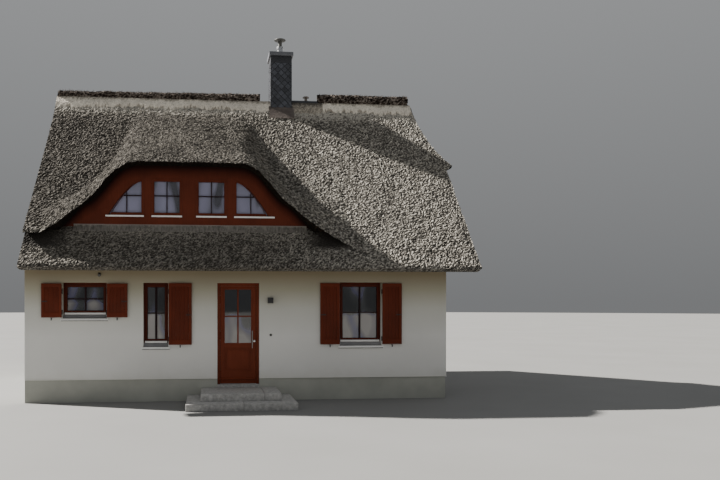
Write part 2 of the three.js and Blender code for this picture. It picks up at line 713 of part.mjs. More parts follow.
function addDormer() {
  const board = [DORMER.boardY, DORMER.boardY + DORMER.board];
  const top = 5300;
  const rail = 38;
  const section = [
    [board[0], wallTop(board[0]) + GAP * 2],
    [board[1], wallTop(board[1]) + GAP * 2],
    [board[1], top],
    [board[0], top],
  ];
  let front = alongX(section, DORMER.boardX).subtract(browSpace);
  DORMER_WINDOWS.forEach((pane, index) => {
    const through = [board[0] - 1, board[1] + 1];
    front = front.subtract(alongY(dormerPane(pane, rail + GAP), through));
    const frameY = [board[0] - 10, board[1]];
    const hole = alongY(dormerPane(pane, 0), [0, WALL]);
    const lipX = [pane.x[0] - rail * (pane.slant < 0 ? 3 : 1), pane.x[1] + rail * (pane.slant > 0 ? 3 : 1)];
    const lip = box(lipX, [board[0] - 40, board[0] - GAP], [DORMER_SILL_Z, DORMER_GLASS_Z[0] - 20]);
    const frame = alongY(dormerPane(pane, rail), frameY).subtract(hole).add(lip);
    add(`dormer_window_${index + 1}`, frame, redPaint());
  });
  add("dormer_front", front, redPaint());
  const last = DORMER_WINDOWS[DORMER_WINDOWS.length - 1];
  const sheet = box(
    [DORMER_WINDOWS[0].x[0] - 30, last.x[1] + 30],
    [board[1] + GAP, board[1] + 20],
    [DORMER_GLASS_Z[0] - 30, DORMER_GLASS_Z[1] + 30],
  );
  add("dormer_glass", sheet.subtract(browSpace), glass());
}

function addLamp() {
  add("wall_lamp", box([5140, 5260], [-100, -GAP], [2110, 2230]), black());
}

addBase();
addFrontWall();
addOtherWalls();
addUpperFloor();
addThatch();
addRidge();
addChimney();
addDormer();
addWindows();
addShutters();
addDoorFrame();
addDoorLeaf();
addLamp();

export default cottage;
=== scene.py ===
import math

import bmesh
import bpy
import numpy as np
from mathutils import Matrix, Vector


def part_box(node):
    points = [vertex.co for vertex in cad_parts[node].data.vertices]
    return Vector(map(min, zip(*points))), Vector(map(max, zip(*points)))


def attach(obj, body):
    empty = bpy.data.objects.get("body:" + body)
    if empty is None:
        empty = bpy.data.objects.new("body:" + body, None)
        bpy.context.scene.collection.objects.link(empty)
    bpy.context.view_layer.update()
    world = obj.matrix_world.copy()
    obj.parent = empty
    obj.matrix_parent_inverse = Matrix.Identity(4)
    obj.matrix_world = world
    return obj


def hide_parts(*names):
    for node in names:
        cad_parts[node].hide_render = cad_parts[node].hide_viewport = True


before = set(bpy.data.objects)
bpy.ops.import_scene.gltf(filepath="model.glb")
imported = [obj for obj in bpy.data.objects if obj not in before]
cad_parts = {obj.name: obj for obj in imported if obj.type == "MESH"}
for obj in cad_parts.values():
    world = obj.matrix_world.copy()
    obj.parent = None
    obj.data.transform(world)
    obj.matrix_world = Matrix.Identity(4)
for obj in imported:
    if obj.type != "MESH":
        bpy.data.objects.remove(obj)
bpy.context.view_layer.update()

HOUSE = Vector((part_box("party_wall")[0].x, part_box("front_wall_over_door")[0].y, 0))


def extent(node, axis):
    """Lowest and highest place of a node along one axis, in house metres."""
    low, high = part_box(node)
    return low[axis] - HOUSE[axis], high[axis] - HOUSE[axis]


# Driving dimensions, as the solids have them
WIDTH = extent("front_wall_right", 0)[1]
DEPTH = extent("back_wall", 1)[1]
SLOPE = math.radians(48)
PITCH = math.tan(SLOPE)
EAVE_Y, EAVE_Z = -0.64, 2.8645
FOOT_Y, FOOT_Z = -0.254, 2.80
RIDGE_Y, RIDGE_TOP = DEPTH / 2, 7.47
CROWN = 0.16
THATCH = 0.33
VERGE = 9.73
HIP_TOP, HIP_BEND, HIP_TIP = (9.28, 7.45), (9.345, 6.16), (9.91, 5.55)
HIP_FOOT = (9.771, 5.421)
HIP_THINNER = 0.14
BROW_MIDDLE, BROW_END = 3.43, 6.96
BROW_LENGTH, BROW_TOP = 3.15, 1.776
BROW_THINNER = 0.14
WING_RISE = 0.246
FLANK_AWAY, FLANK_BLEND, FLANK_END = (0, 1.8), (0.3, 1.3), (2.6, 3.2)
FLANK_LENGTH, FLANK_POWER = 3.6, 1.6
VALLEY_DEPTH, VALLEY_RISE = 0.15, 0.4
SWELL_FROM, SWELL_RISE = 1.9, 0.14
LAYER_FOOT, LAYER_FULL, LAYER_RISE = RIDGE_Y - 0.40, RIDGE_Y - 0.32, 0.045
ROLL_HEIGHT = 0.021
BACK_PHASE = 2
LIP_Y, LIP_CUT = -0.2, 0.30
BOARD_Y = 0.18
APRON_DROP = 0.015

# Relief of the reed: the grid's width, then how far ends, soft hills and rounded edges go,
# the points' own scatter along the slope, the trimmed edges, where tips get paler, and the painted light on
# the apron by the board
CELL = 0.026
RELIEF, SOFT_RELIEF, EDGE_ROUND = 0.010, 0.008, 0.02
EDGE_REACH = 0.12
JITTER, LEVEL_SHARE = 0.009, 0.67
CUT_ROWS, CUT_BULGE, CUT_ROUGH = 11, 0.02, 0.004
NEAR_LAYER, BOARD_SKYLIGHT = 0.35, 0.14
LEFT, RIGHT = np.array([-1.0, 0, 0]), np.array([1.0, 0, 0])

# Welding and rounding: points this close join, and edges bent more than this many radians are rounded
WELD, SHARP_ANGLE = 0.0002, 0.6


# Curves and noise on arrays
def bezier(points, count=80):
    """Points along a Bezier curve of any degree."""
    t = np.linspace(0, 1, count)[:, None]
    degree = len(points) - 1
    total = np.zeros((count, 2))
    for index, point in enumerate(points):
        weight = math.comb(degree, index) * t ** index * (1 - t) ** (degree - index)
        total = total + weight * np.array(point)
    return total


def wobble(u, v, size, seed):
    """Smooth random hills between -1 and 1, about `size` metres across."""
    knots = 128
    table = np.random.default_rng(seed).uniform(-1, 1, (knots, knots))
    u, v = np.asarray(u) / size, np.asarray(v) / size
    cell_u, cell_v = np.floor(u).astype(int), np.floor(v).astype(int)
    u, v = u - cell_u, v - cell_v
    u, v = u * u * (3 - 2 * u), v * v * (3 - 2 * v)

    def knot(du, dv):
        return table[(cell_u + du) % knots, (cell_v + dv) % knots]

    low = knot(0, 0) * (1 - u) + knot(1, 0) * u
    high = knot(0, 1) * (1 - u) + knot(1, 1) * u
    return low * (1 - v) + high * v


def unit(vectors):
    return vectors / np.maximum(np.linalg.norm(vectors, axis=-1, keepdims=True), 1e-9)


def spread(start, end, step):
    return np.linspace(start, end, max(2, round(abs(end - start) / step) + 1))


def smooth_step(value, low, high):
    share = np.clip((value - low) / (high - low), 0, 1)
    return share * share * (3 - 2 * share)


def bell(distance, reach):
    """1 at no distance, falling off softly."""
    return np.exp(-(distance / reach) ** 2)


def grey(value):
    return (value, value, value)


# Materials
class Nodes:
    """Short ways to add nodes to a tree. A value is a number, a colour or a node's output."""

    def __init__(self, tree):
        self.tree = tree

    def add(self, kind):
        return self.tree.nodes.new(f"ShaderNode{kind}")

    def feed(self, socket, value):
        if isinstance(value, (int, float)):
            socket.default_value = value
        elif isinstance(value, tuple):
            socket.default_value = (*value, 1)
        else:
            self.tree.links.new(value, socket)

    def place(self, kind="Object"):
        """X, Y and Z of a point, in the object's own coordinates unless told otherwise."""
        split = self.add("SeparateXYZ")
        self.feed(split.inputs["Vector"], self.add("TexCoord").outputs[kind])
        return split.outputs

    def noise(self, scale, detail=3.0, rough=0.55, stretch=(1, 1, 1)):
        """A noise texture in the object's own coordinates, stretched per axis."""
        mapping = self.add("Mapping")
        mapping.inputs["Scale"].default_value = stretch
        self.feed(mapping.inputs["Vector"], self.add("TexCoord").outputs["Object"])
        node = self.add("TexNoise")
        self.feed(node.inputs["Vector"], mapping.outputs["Vector"])
        self.feed(node.inputs["Scale"], scale)
        self.feed(node.inputs["Detail"], detail)
        self.feed(node.inputs["Roughness"], rough)
        return node.outputs["Fac"]

    def tip(self):
        """The number that the mesh carries at each corner: tone, and on the thatch painted shade and light
        too.
        """
        node = self.add("Attribute")
        node.attribute_name = "tip"
        return node.outputs["Fac"]

    def ramp(self, source, stops):
        node = self.add("ValToRGB")
        while len(node.color_ramp.elements) < len(stops):
            node.color_ramp.elements.new(0.5)
        for element, (place, colour) in zip(node.color_ramp.elements, stops):
            element.position = place
            element.color = (*colour, 1)
        self.feed(node.inputs["Fac"], source)
        return node.outputs["Color"]

    def mix(self, share, first, second, kind="MIX"):
        node = self.add("Mix")
        node.data_type = "RGBA"
        node.blend_type = kind
        for index, value in ((0, share), (6, first), (7, second)):
            self.feed(node.inputs[index], value)
        return node.outputs[2]

    def shade(self, colour, by):
        return self.mix(1.0, colour, by, "MULTIPLY")

    def calc(self, kind, first, second=0):
        node = self.add("Math")
        node.operation = kind
        for socket, value in zip(node.inputs, (first, second)):
            self.feed(socket, value)
        return node.outputs[0]

    def times(self, first, second):
        return self.calc("MULTIPLY", first, second)


class Look(Nodes):
    """A material in the making. Its constant values go to the shader's own sockets."""

    def __init__(self, name, **values):
        self.material = bpy.data.materials.new(name)
        self.material.use_nodes = True
        super().__init__(self.material.node_tree)
        self.shader = self.tree.nodes["Principled BSDF"].inputs
        for socket, value in values.items():
            self.shader[socket.replace("_", " ")].default_value = value

    def finish(self, colour, height=None, distance=0.0):
        """Links the colour and, where a height is given, the fine relief."""
        self.feed(self.shader["Base Color"], colour)
        if height is not None:
            bump = self.add("Bump")
            bump.inputs["Strength"].default_value = 1.0
            bump.inputs["Distance"].default_value = distance
            self.feed(bump.inputs["Height"], height)
            self.feed(self.shader["Normal"], bump.outputs["Normal"])
        return self.material


def plain(name, dark, light, rough, scale, bump=0.0, metal=0.0, stretch=(1, 1, 1), fine=90):
    """Two close tones mixed by noise, with a fine grain in the surface."""
    look = Look(name, Roughness=rough, Metallic=metal)
    colour = look.ramp(look.noise(scale, stretch=stretch), [(0.3, dark), (0.7, light)])
    return look.finish(colour, look.noise(fine, 4, stretch=stretch) if bump else None, bump)


# Painted shade over the roof's left part: it lightens to the right from the first place, fades below the
# second height and ends above the third; in it the speckle flattens towards a flat tone
LEFT_SHADE_FROM, LEFT_SHADE_FADES_BELOW, LEFT_SHADE_ENDS_ABOVE = -4.6, 4.1, 6.5
FLAT_SHADE_TONE = 2.15


def reed(name, stops, grain, relief):
    """Cut reed ends: pale tips over dark gaps, partly painted shade, in patches and faint streaks down the
    slope, with painted shade over the roof's left part.
    """
    look = Look(name, Roughness=0.9, Specular_IOR_Level=0.15)
    tip = look.tip()
    speckle = look.noise(grain, 2, 0.7)
    colour = look.ramp(look.calc("ADD", look.times(tip, 0.42), look.times(speckle, 0.58)), stops)
    patches = look.ramp(look.noise(0.9, 4), [(0.3, (0.80, 0.79, 0.78)), (0.7, (1, 0.99, 0.97))])
    streaks = look.ramp(look.noise(7, 3, 0.6, (1, 0.12, 0.12)), [(0.3, grey(0.82)), (0.65, grey(1))])
    # Painted shade over the roof's left part, weaker low down and gone near the ridge, where the speckle also
    # flattens
    x, _, z = look.place()
    along = look.times(look.calc("SUBTRACT", x, LEFT_SHADE_FROM), 0.1)
    low = look.times(look.calc("SUBTRACT", LEFT_SHADE_FADES_BELOW, z), 1.2)
    high = look.times(look.calc("SUBTRACT", z, LEFT_SHADE_ENDS_ABOVE), 1.1)
    along = look.calc("MAXIMUM", along, look.calc("MINIMUM", low, 0.5))
    along = look.calc("MAXIMUM", along, high)
    flat_in_shade = look.ramp(along, [(0.2, grey(0.35)), (0.6, grey(0))])
    colour = look.mix(flat_in_shade, colour, tuple(FLAT_SHADE_TONE * value for value in stops[1][1]))
    left_shade = look.ramp(
        along, [(0.1, (0.36, 0.35, 0.34)), (0.42, (0.44, 0.43, 0.42)), (0.68, grey(1))],
    )
    for tone in (patches, streaks, left_shade):
        colour = look.shade(colour, tone)
    return look.finish(colour, look.calc("ADD", look.noise(grain * 0.8, 3, 0.7), tip), relief)


def heather_material():
    look = Look("heather_twigs", Roughness=0.95, Specular_IOR_Level=0.1)
    twigs = look.noise(60, 4, 0.7, (0.5, 1, 1))
    level = look.calc("ADD", look.times(twigs, 0.5), look.times(look.tip(), 0.5))
    stops = [(0.38, (0.012, 0.008, 0.006)), (0.52, (0.080, 0.062, 0.050)), (0.68, (0.29, 0.25, 0.22))]
    return look.finish(look.ramp(level, stops), twigs, 0.03)


def paint(name, dark, light):
    """Ox-red paint on wood, with faint grain and slightly worn tone."""
    look = Look(name, Roughness=0.5, Specular_IOR_Level=0.15)
    colour = look.ramp(look.noise(2.2, 3), [(0.3, dark), (0.7, light)])
    grain = look.noise(40, 3, 0.6, (1, 1, 0.06))
    lines = look.ramp(grain, [(0.3, grey(0.82)), (0.7, grey(1))])
    return look.finish(look.shade(colour, lines), grain, 0.0015)


def slate_material():
    """Each slate has its own tone, from the mesh, with fine cleft grain."""
    look = Look("roof_slate", Roughness=0.5)
    colour = look.ramp(look.tip(), [(0.0, (0.022, 0.024, 0.030)), (1.0, (0.080, 0.086, 0.105))])
    cloud = look.ramp(look.noise(14, 4), [(0.3, grey(0.8)), (0.7, grey(1))])
    return look.finish(look.shade(colour, cloud), look.noise(60, 5, 0.6), 0.004)


# Painted shade under an eave: the height where it starts, how fast it deepens, and its warm tones
EAVE_SHADE_FROM, EAVE_SHADE_PACE = 1.4, 0.74
EAVE_SHADE_TONES = [(0, grey(1)), (0.45, (0.78, 0.78, 0.735)), (0.75, (0.53, 0.50, 0.395)), (1, (0.36, 0.30, 0.20))]


def wall_material(name, shade_tones=None):
    """White float-finished render with faint clouds, dust low down, and a warm painted shade under an eave.
    """
    look = Look(name, Roughness=0.92, Specular_IOR_Level=0.2)
    clouds = look.ramp(look.noise(0.8, 5), [(0.3, (0.745, 0.74, 0.715)), (0.7, (0.80, 0.795, 0.77))])
    z = look.place()[2]
    height = look.calc("ADD", z, look.times(look.noise(5), 0.3))
    colour = look.shade(clouds, look.ramp(height, [(0.55, (0.93, 0.925, 0.90)), (0.85, grey(1))]))
    # Painted shade: darker and warmer towards the eave, standing in for the overhang's shade
    if shade_tones:
        rise = look.times(look.calc("SUBTRACT", z, EAVE_SHADE_FROM), EAVE_SHADE_PACE)
        colour = look.shade(colour, look.ramp(rise, shade_tones))
    return look.finish(colour, look.noise(160, 3, 0.6), 0.0016)


# Painted reflections in the glass's colour, from dark to pale with a blue-violet band; the dormer's are
# bluish grey
PANE_PAINTED_REFLECTIONS = [
    (0.30, (0.025, 0.027, 0.030)), (0.42, (0.085, 0.09, 0.095)), (0.49, (0.17, 0.165, 0.30)),
    (0.56, (0.27, 0.26, 0.29)), (0.66, (0.46, 0.44, 0.43)),
]
DORMER_PAINTED_REFLECTIONS = [(0.33, (0.10, 0.10, 0.13)), (0.45, (0.38, 0.38, 0.53)), (0.7, (0.50, 0.50, 0.71))]


def glass(name, stops, darker_up=0, pale_below=0):
    """Double glazing over a dark room: part see-through, clear in reflection, with painted reflections in its
    tones, paler low down.
    """
    look = Look(
        name, Roughness=0.03, IOR=1.5, Specular_IOR_Level=1.0, Transmission_Weight=0.45,
        Coat_Weight=0.6, Coat_Roughness=0.02,
    )
    drop = look.times(look.calc("SUBTRACT", pale_below, look.place()[2]), 9)
    drop = look.calc("MINIMUM", look.calc("MAXIMUM", drop, -0.5), 0.5)
    tone = look.calc("ADD", look.noise(3.1, 0.6, 0.4, (1, 1, 0.35)), look.times(drop, darker_up))
    return look.finish(look.ramp(tone, stops))


MATERIALS = {
    "reed_thatch": reed("reed_ends", [
        (0.31, (0.040, 0.036, 0.032)), (0.47, (0.155, 0.145, 0.13)), (0.66, (0.66, 0.63, 0.565)),
    ], 56, 0.04),
    # Cut reed ends, a darker brown, made near black as painted shade for lips, undersides and trimmed ends
    "reed_shaded_cut": reed("cut_reed_painted_shade", [
        (0.3, (0.004, 0.003, 0.002)), (0.5, (0.012, 0.008, 0.005)), (0.72, (0.05, 0.035, 0.022)),
    ], 60, 0.006),
    "reed_pale": reed("reed_ridge_layer", [
        (0.32, (0.09, 0.082, 0.072)), (0.5, (0.38, 0.345, 0.29)), (0.70, (0.92, 0.86, 0.75)),
    ], 40, 0.006),
    "heather": heather_material(),
    # Copies of one ox-red paint: the board, panel, recess and bar copies are darker as painted shade, the
    # door copy brighter as painted light
    "red_wood": paint("ox_red_paint", (0.115, 0.0190, 0.0062), (0.157, 0.0262, 0.0086)),
    "board_paint_shaded": paint("ox_red_paint_shaded_board", (0.100, 0.0190, 0.0075), (0.140, 0.0275, 0.0110)),
    "door_paint_lit": paint("ox_red_paint_lit_door", (0.160, 0.0310, 0.0120), (0.216, 0.0435, 0.0175)),
    "panel_paint_shaded": paint("ox_red_paint_shaded_panel", (0.101, 0.0167, 0.0055), (0.139, 0.0233, 0.0079)),
    "recess_paint_shaded": paint("ox_red_paint_shaded_recess", (0.070, 0.0115, 0.0040), (0.098, 0.0160, 0.0055)),
    "bar_paint_shaded": paint("ox_red_paint_shaded_bar", (0.016, 0.007, 0.008), (0.026, 0.010, 0.011)),
    "window_glass": glass("window_pane", PANE_PAINTED_REFLECTIONS, 0.26, 1.885),
    "small_glass": glass("window_pane_small", PANE_PAINTED_REFLECTIONS, 0.20, 2.16),
    "dormer_pane": glass("dormer_pane", DORMER_PAINTED_REFLECTIONS),
    "slate": slate_material(),
    "white_render": wall_material("white_render_coat"),
    "eave_shaded_render": wall_material("white_render_painted_eave_shade", EAVE_SHADE_TONES),
    "plinth_paint": plain(
        "plinth_coat", (0.37, 0.375, 0.335), (0.46, 0.465, 0.415), 0.9, 1.6, 0.002, fine=140,
    ),
    "concrete": plain(
        "cast_concrete", (0.30, 0.295, 0.285), (0.53, 0.52, 0.505), 0.85, 17, 0.0025, fine=120,
    ),
    "floor_timber": plain(
        "floor_boards", (0.20, 0.13, 0.075), (0.32, 0.21, 0.125), 0.6, 6, 0.001, stretch=(0.1, 1, 1),
    ),
    "pale_sill": plain("sill_metal", (0.84, 0.835, 0.82), (0.92, 0.915, 0.90), 0.42, 3, 0.0006),
    "bare_metal": plain("brushed_steel", (0.48, 0.49, 0.50), (0.62, 0.63, 0.64), 0.28, 9, 0.0004, 1.0),
    "satin_metal": plain(
        "satin_steel", (0.25, 0.235, 0.225), (0.34, 0.325, 0.315), 0.4, 9, 0.0004, 1.0,
    ),
    "lead": plain("lead_sheet", (0.16, 0.132, 0.118), (0.25, 0.212, 0.190), 0.6, 4, 0.004, 0.1, fine=12),
    "dormer_sheet": plain(
        "dormer_sheet", (0.078, 0.074, 0.064), (0.235, 0.215, 0.190), 0.8, 26, 0.004,
        stretch=(1, 0.25, 0.25), fine=60,
    ),
    "cap_sheet": plain("chimney_cap_sheet", (0.10, 0.105, 0.12), (0.15, 0.155, 0.175), 0.5, 5, 0.001),
    # Grey copy of the pale sill metal, its darkness a painted dark reflection
    "sill_slope": plain("sill_slope_painted_reflection", (0.22, 0.22, 0.225), (0.28, 0.28, 0.285), 0.42, 3, 0.0006),
    # Dark dull steel; on the cowl's top this darkness is painted shade of its underside seen from below
    "dull_metal": plain(
        "dark_dull_steel", (0.050, 0.050, 0.045), (0.085, 0.082, 0.074), 0.5, 6, 0.001, 0.2,
    ),
    "black_metal": plain("black_iron", (0.010, 0.010, 0.011), (0.022, 0.022, 0.024), 0.45, 12, 0.0008),
}


# Making pieces
def add_object(name, data):
    obj = bpy.data.objects.new(name, data)
    bpy.context.scene.collection.objects.link(obj)
    return obj


def register(obj, materials, body, replaces):
    """Gives a piece its materials and its body."""
    for key in materials:
        obj.data.materials.append(MATERIALS[key])
    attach(obj, body)
    if replaces:
        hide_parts(*replaces)


def set_tips(mesh, values):
    """Stores the number per corner that materials turn into tone, painted shade and light included."""
    layer = mesh.attributes.new("tip", "FLOAT", "POINT")
    layer.data.foreach_set("value", values.astype(np.float32))


def patch_piece(name, patches, materials, replaces=()):
    """One mesh welded from grids. A patch is (points, tips, material index, flipped)."""
    points, tips, faces, kinds = [], [], [], []
    start = 0
    for grid, tip, kind, flipped in patches:
        rows, columns = grid.shape[:2]
        index = start + np.arange(rows * columns).reshape(rows, columns)
        corners = [index[:-1, :-1], index[:-1, 1:], index[1:, 1:], index[1:, :-1]]
        if flipped:
            corners.reverse()
        quads = np.stack([corner.ravel() for corner in corners], axis=1)
        points.append(grid.reshape(-1, 3) + np.array(HOUSE))
        tips.append(np.broadcast_to(tip, (rows, columns)).ravel())
        faces.append(quads)
        kinds.append(np.full(len(quads), kind))
        start += rows * columns
    mesh = bpy.data.meshes.new(name)
    mesh.from_pydata(np.concatenate(points).tolist(), [], np.concatenate(faces).tolist())
    mesh.polygons.foreach_set("material_index", np.concatenate(kinds).astype(np.int32))
    set_tips(mesh, np.concatenate(tips))
    welded = bmesh.new()
    welded.from_mesh(mesh)
    bmesh.ops.remove_doubles(welded, verts=welded.verts, dist=WELD)
    bmesh.ops.dissolve_degenerate(welded, edges=welded.edges, dist=0.0001)
    welded.to_mesh(mesh)
    welded.free()
    mesh.polygons.foreach_set("use_smooth", np.zeros(len(mesh.polygons), dtype=bool))
    register(add_object(name, mesh), materials, "house", replaces)


def solid_piece(name, shape, material, body="house", replaces=(), bevel=0.003, place=None):
    """A piece from a bmesh in house metres, its sharp edges rounded."""
    if place is not None:
        bmesh.ops.transform(shape, matrix=place, verts=shape.verts)
    bmesh.ops.recalc_face_normals(shape, faces=shape.faces)
    if bevel:
        inner = [edge for edge in shape.edges if len(edge.link_faces) == 2]
        sharp = [edge for edge in inner if edge.calc_face_angle() > SHARP_ANGLE]
        bmesh.ops.bevel(
            shape, geom=sharp, offset=bevel, segments=2, profile=0.6, affect="EDGES", clamp_overlap=True,
        )
    bmesh.ops.translate(shape, verts=shape.verts, vec=HOUSE)
    mesh = bpy.data.meshes.new(name)
    shape.to_mesh(mesh)
    shape.free()
    mesh.polygons.foreach_set("use_smooth", np.ones(len(mesh.polygons), dtype=bool))
    mesh.set_sharp_from_angle(angle=math.radians(35))
    register(add_object(name, mesh), [material], body, replaces)


def block(shape, low, high):
    """A closed box between two corners."""
    corners = [
        shape.verts.new((x, y, z))
        for z in (low[2], high[2]) for y in (low[1], high[1]) for x in (low[0], high[0])
    ]
    for face in ((0, 2, 3, 1), (4, 5, 7, 6), (0, 1, 5, 4), (2, 6, 7, 3), (0, 4, 6, 2), (1, 3, 7, 5)):
        shape.faces.new([corners[index] for index in face])


def blocks_piece(name, boxes, material, **how):
    """A piece from closed boxes, each given by two corners."""
    shape = bmesh.new()
    for low, high in boxes:
        block(shape, low, high)
    solid_piece(name, shape, material, **how)


def rectangle(x0, x1, z0, z1):
    return [(x0, z0), (x1, z0), (x1, z1), (x0, z1)]


def grown(sides, by):
    """A rectangle (x0, x1, z0, z1) grown on all sides, or shrunk by a growth below zero."""
    x0, x1, z0, z1 = sides
    return rectangle(x0 - by, x1 + by, z0 - by, z1 + by)


def ring(shape, outer, inner, y0, y1):
    """A frame between an outer and an inner outline with as many points."""
    loops = [[shape.verts.new((x, y, z)) for x, z in line] for line in (outer, inner) for y in (y0, y1)]
    outer_near, outer_far, inner_near, inner_far = loops
    around = [outer_near, inner_near, inner_far, outer_far, outer_near]
    for index in range(len(outer)):
        after = (index + 1) % len(outer)
        for first, second in zip(around, around[1:]):
            shape.faces.new((first[index], first[after], second[after], second[index]))


def close_between(shape, near, far):
    """Two loops of corners made into a solid: both ends and the sides between them."""
    shape.faces.new(near)
    shape.faces.new(far[::-1])
    for index in range(len(near)):
        after = (index + 1) % len(near)
        shape.faces.new((near[index], far[index], far[after], near[after]))


def bar_along_x(shape, section, x0, x1):
    """A section in Y and Z run between two places along X."""
    close_between(shape, *([shape.verts.new((x, y, z)) for y, z in section] for x in (x0, x1)))


def rod(shape, start, end, radius, sides=12):
    """A round bar between two points."""
    start, end = Vector(start), Vector(end)
    along = end - start
    turn = along.to_track_quat("Z", "Y").to_matrix().to_4x4()
    bmesh.ops.create_cone(
        shape, cap_ends=True, segments=sides, radius1=radius, radius2=radius, depth=along.length,
        matrix=Matrix.Translation((start + end) / 2) @ turn,
    )


def turned_piece(name, profile, centre, material, sides=40, replaces=()):
    """A profile of radius and height, turned about an upright axis."""
    shape = bmesh.new()
    x, y, foot = centre
    turns = [math.tau * side / sides for side in range(sides)]
    loops = []
    for radius, height in profile:
        if radius == 0:
            loops.append([shape.verts.new((x, y, foot + height))] * sides)
            continue
        loops.append([
            shape.verts.new((x + radius * math.cos(turn), y + radius * math.sin(turn), foot + height))
            for turn in turns
        ])
    for lower, upper in zip(loops, loops[1:]):
        for side in range(sides):
            after = (side + 1) % sides
            corners = [lower[side], lower[after], upper[after], upper[side]]
            shape.faces.new(list(dict.fromkeys(corners)))
    solid_piece(name, shape, material, replaces=replaces, bevel=0)


# Camera, light and floor
def add_camera():
    data = bpy.data.cameras.new("camera")
    data.lens = 36
    data.sensor_width = 36
    data.shift_x = 0.114
    data.shift_y = 0.0875
    data.clip_end = 500
    camera = add_object("camera", data)
    camera.location = HOUSE + Vector((3.826, -15.627, 2.116))
    camera.rotation_euler = (math.radians(90), 0, math.radians(-5.63))
    bpy.context.scene.camera = camera


def add_light():
    world = bpy.data.worlds.new("studio")
    bpy.context.scene.world = world
    world.use_nodes = True
    nodes = Nodes(world.node_tree)
    up = nodes.place("Generated")[2]
    background = world.node_tree.nodes["Background"].inputs
    background["Strength"].default_value = 0.42
    nodes.feed(background["Color"], nodes.ramp(up, [(0.0, (0.44, 0.45, 0.46)), (0.7, (0.98, 1.0, 1.02))]))
    key = bpy.data.lights.new("key", "SUN")
    key.energy = 16.0
    key.angle = math.radians(1.2)
    key.color = (1.0, 0.96, 0.90)
    toward = Vector((-0.742, 0.324, 0.61))
    add_object("key", key).rotation_euler = toward.to_track_quat("Z", "Y").to_euler()


def add_floor():
    shape = bmesh.new()
    bmesh.ops.create_circle(shape, cap_ends=True, segments=96, radius=150)
    mesh = bpy.data.meshes.new("studio_floor")
    shape.to_mesh(mesh)
    shape.free()
    floor = add_object("studio_floor", mesh)
    floor.location.z = -0.001
    mesh.materials.append(plain("studio_floor", (0.205, 0.205, 0.20), (0.225, 0.225, 0.22), 0.9, 0.3))


# Roof surfaces
def outer_z(y):
    return EAVE_Z + PITCH * (y - EAVE_Y)


def inner_z(y):
    return FOOT_Z + PITCH * (y - FOOT_Y)


def apron_z(y):
    upper = outer_z(BOARD_Y) - APRON_DROP
    return EAVE_Z + (upper - EAVE_Z) * (y - EAVE_Y) / (BOARD_Y - EAVE_Y)


SHOULDER = bezier([(1.0, BROW_TOP), (1.55, BROW_TOP), (1.7, 1.38), (2.07, 0.996)])
TAIL = bezier([(2.07, 0.996), (2.4, 0.735), (2.9, 0.3), (3.53, 0)])
BROW_CURVE = np.concatenate([[(0, BROW_TOP)], SHOULDER, TAIL[1:]])
HIP_CURVE = bezier([HIP_TOP, HIP_BEND, HIP_TIP])[::-1]
EDGE_CURVE = np.concatenate([[(VERGE, HIP_FOOT[1] - 0.021), HIP_FOOT], HIP_CURVE])
TIP_Y = EAVE_Y + (HIP_TIP[1] - EAVE_Z) / PITCH


def brow_rise(x):
    rise = np.interp(np.abs(x - BROW_MIDDLE), BROW_CURVE[:, 0], BROW_CURVE[:, 1])
    return np.where(x < BROW_MIDDLE, np.maximum(rise, WING_RISE), rise)


def brow_lift(x, y):
    """Rise of the thatch over the dormer: its middle runs straight back, its flanks sink in a curve."""
    rise = brow_rise(x)
    inward = np.maximum(y - LIP_Y, 0)
    straight = inward / BROW_LENGTH
    bent = 1 - (1 - np.minimum(inward / FLANK_LENGTH, 1)) ** FLANK_POWER
    on_flank = smooth_step(np.abs(x - BROW_MIDDLE), *FLANK_AWAY)
    fall = BROW_TOP * (straight * (1 - on_flank) + bent * on_flank)
    valley = VALLEY_DEPTH * np.minimum(1, rise / VALLEY_RISE) + 0.0003
    over = np.clip(rise - fall, -valley, None)
    floored = np.where(over > valley, over, (over + valley) ** 2 / (4 * valley))
    left = np.maximum(1 - straight, 0)
    sunk = smooth_step(inward, *FLANK_BLEND)
    wing = np.where(x < BROW_MIDDLE, WING_RISE * left, 0)
    lift = np.maximum(rise * left * (1 - sunk) + floored * sunk, wing)
    return lift * (1 - smooth_step(y, *FLANK_END))


def brow_z(x, y):
    return outer_z(y) + brow_lift(x, y)


def brow_under(x, y):
    """Underside of the thatch over the dormer, thinner over the windows."""
    step = 0.02
    thick = THATCH - BROW_THINNER * smooth_step(brow_rise(x), 0.25, 0.90)
    slope_x = (brow_z(x + step, y) - brow_z(x - step, y)) / (2 * step)
    slope_y = (brow_z(x, y + step) - brow_z(x, y - step)) / (2 * step)
    under = brow_z(x, y) - thick * np.sqrt(1 + slope_x ** 2 + slope_y ** 2)
    return np.maximum(under, np.where(y <= BOARD_Y, apron_z(y), inner_z(y)))


def swell(y):
    """The thatch thickens towards the ridge."""
    return SWELL_RISE * np.maximum(0, (y - SWELL_FROM) / (RIDGE_Y - SWELL_FROM)) ** 1.5


def roof_z(y, layer=0.0):
    """A slope's surface up to its rounded crown, with the bent-over top layer's thickness added."""
    flank = np.minimum(y, RIDGE_Y - CROWN)
    share = np.clip((flank - LAYER_FOOT) / (LAYER_FULL - LAYER_FOOT), 0, 1)
    z = outer_z(flank) + swell(flank) + layer * share
    return z + (RIDGE_TOP - LAYER_RISE + layer - z) * (y - flank) / CROWN


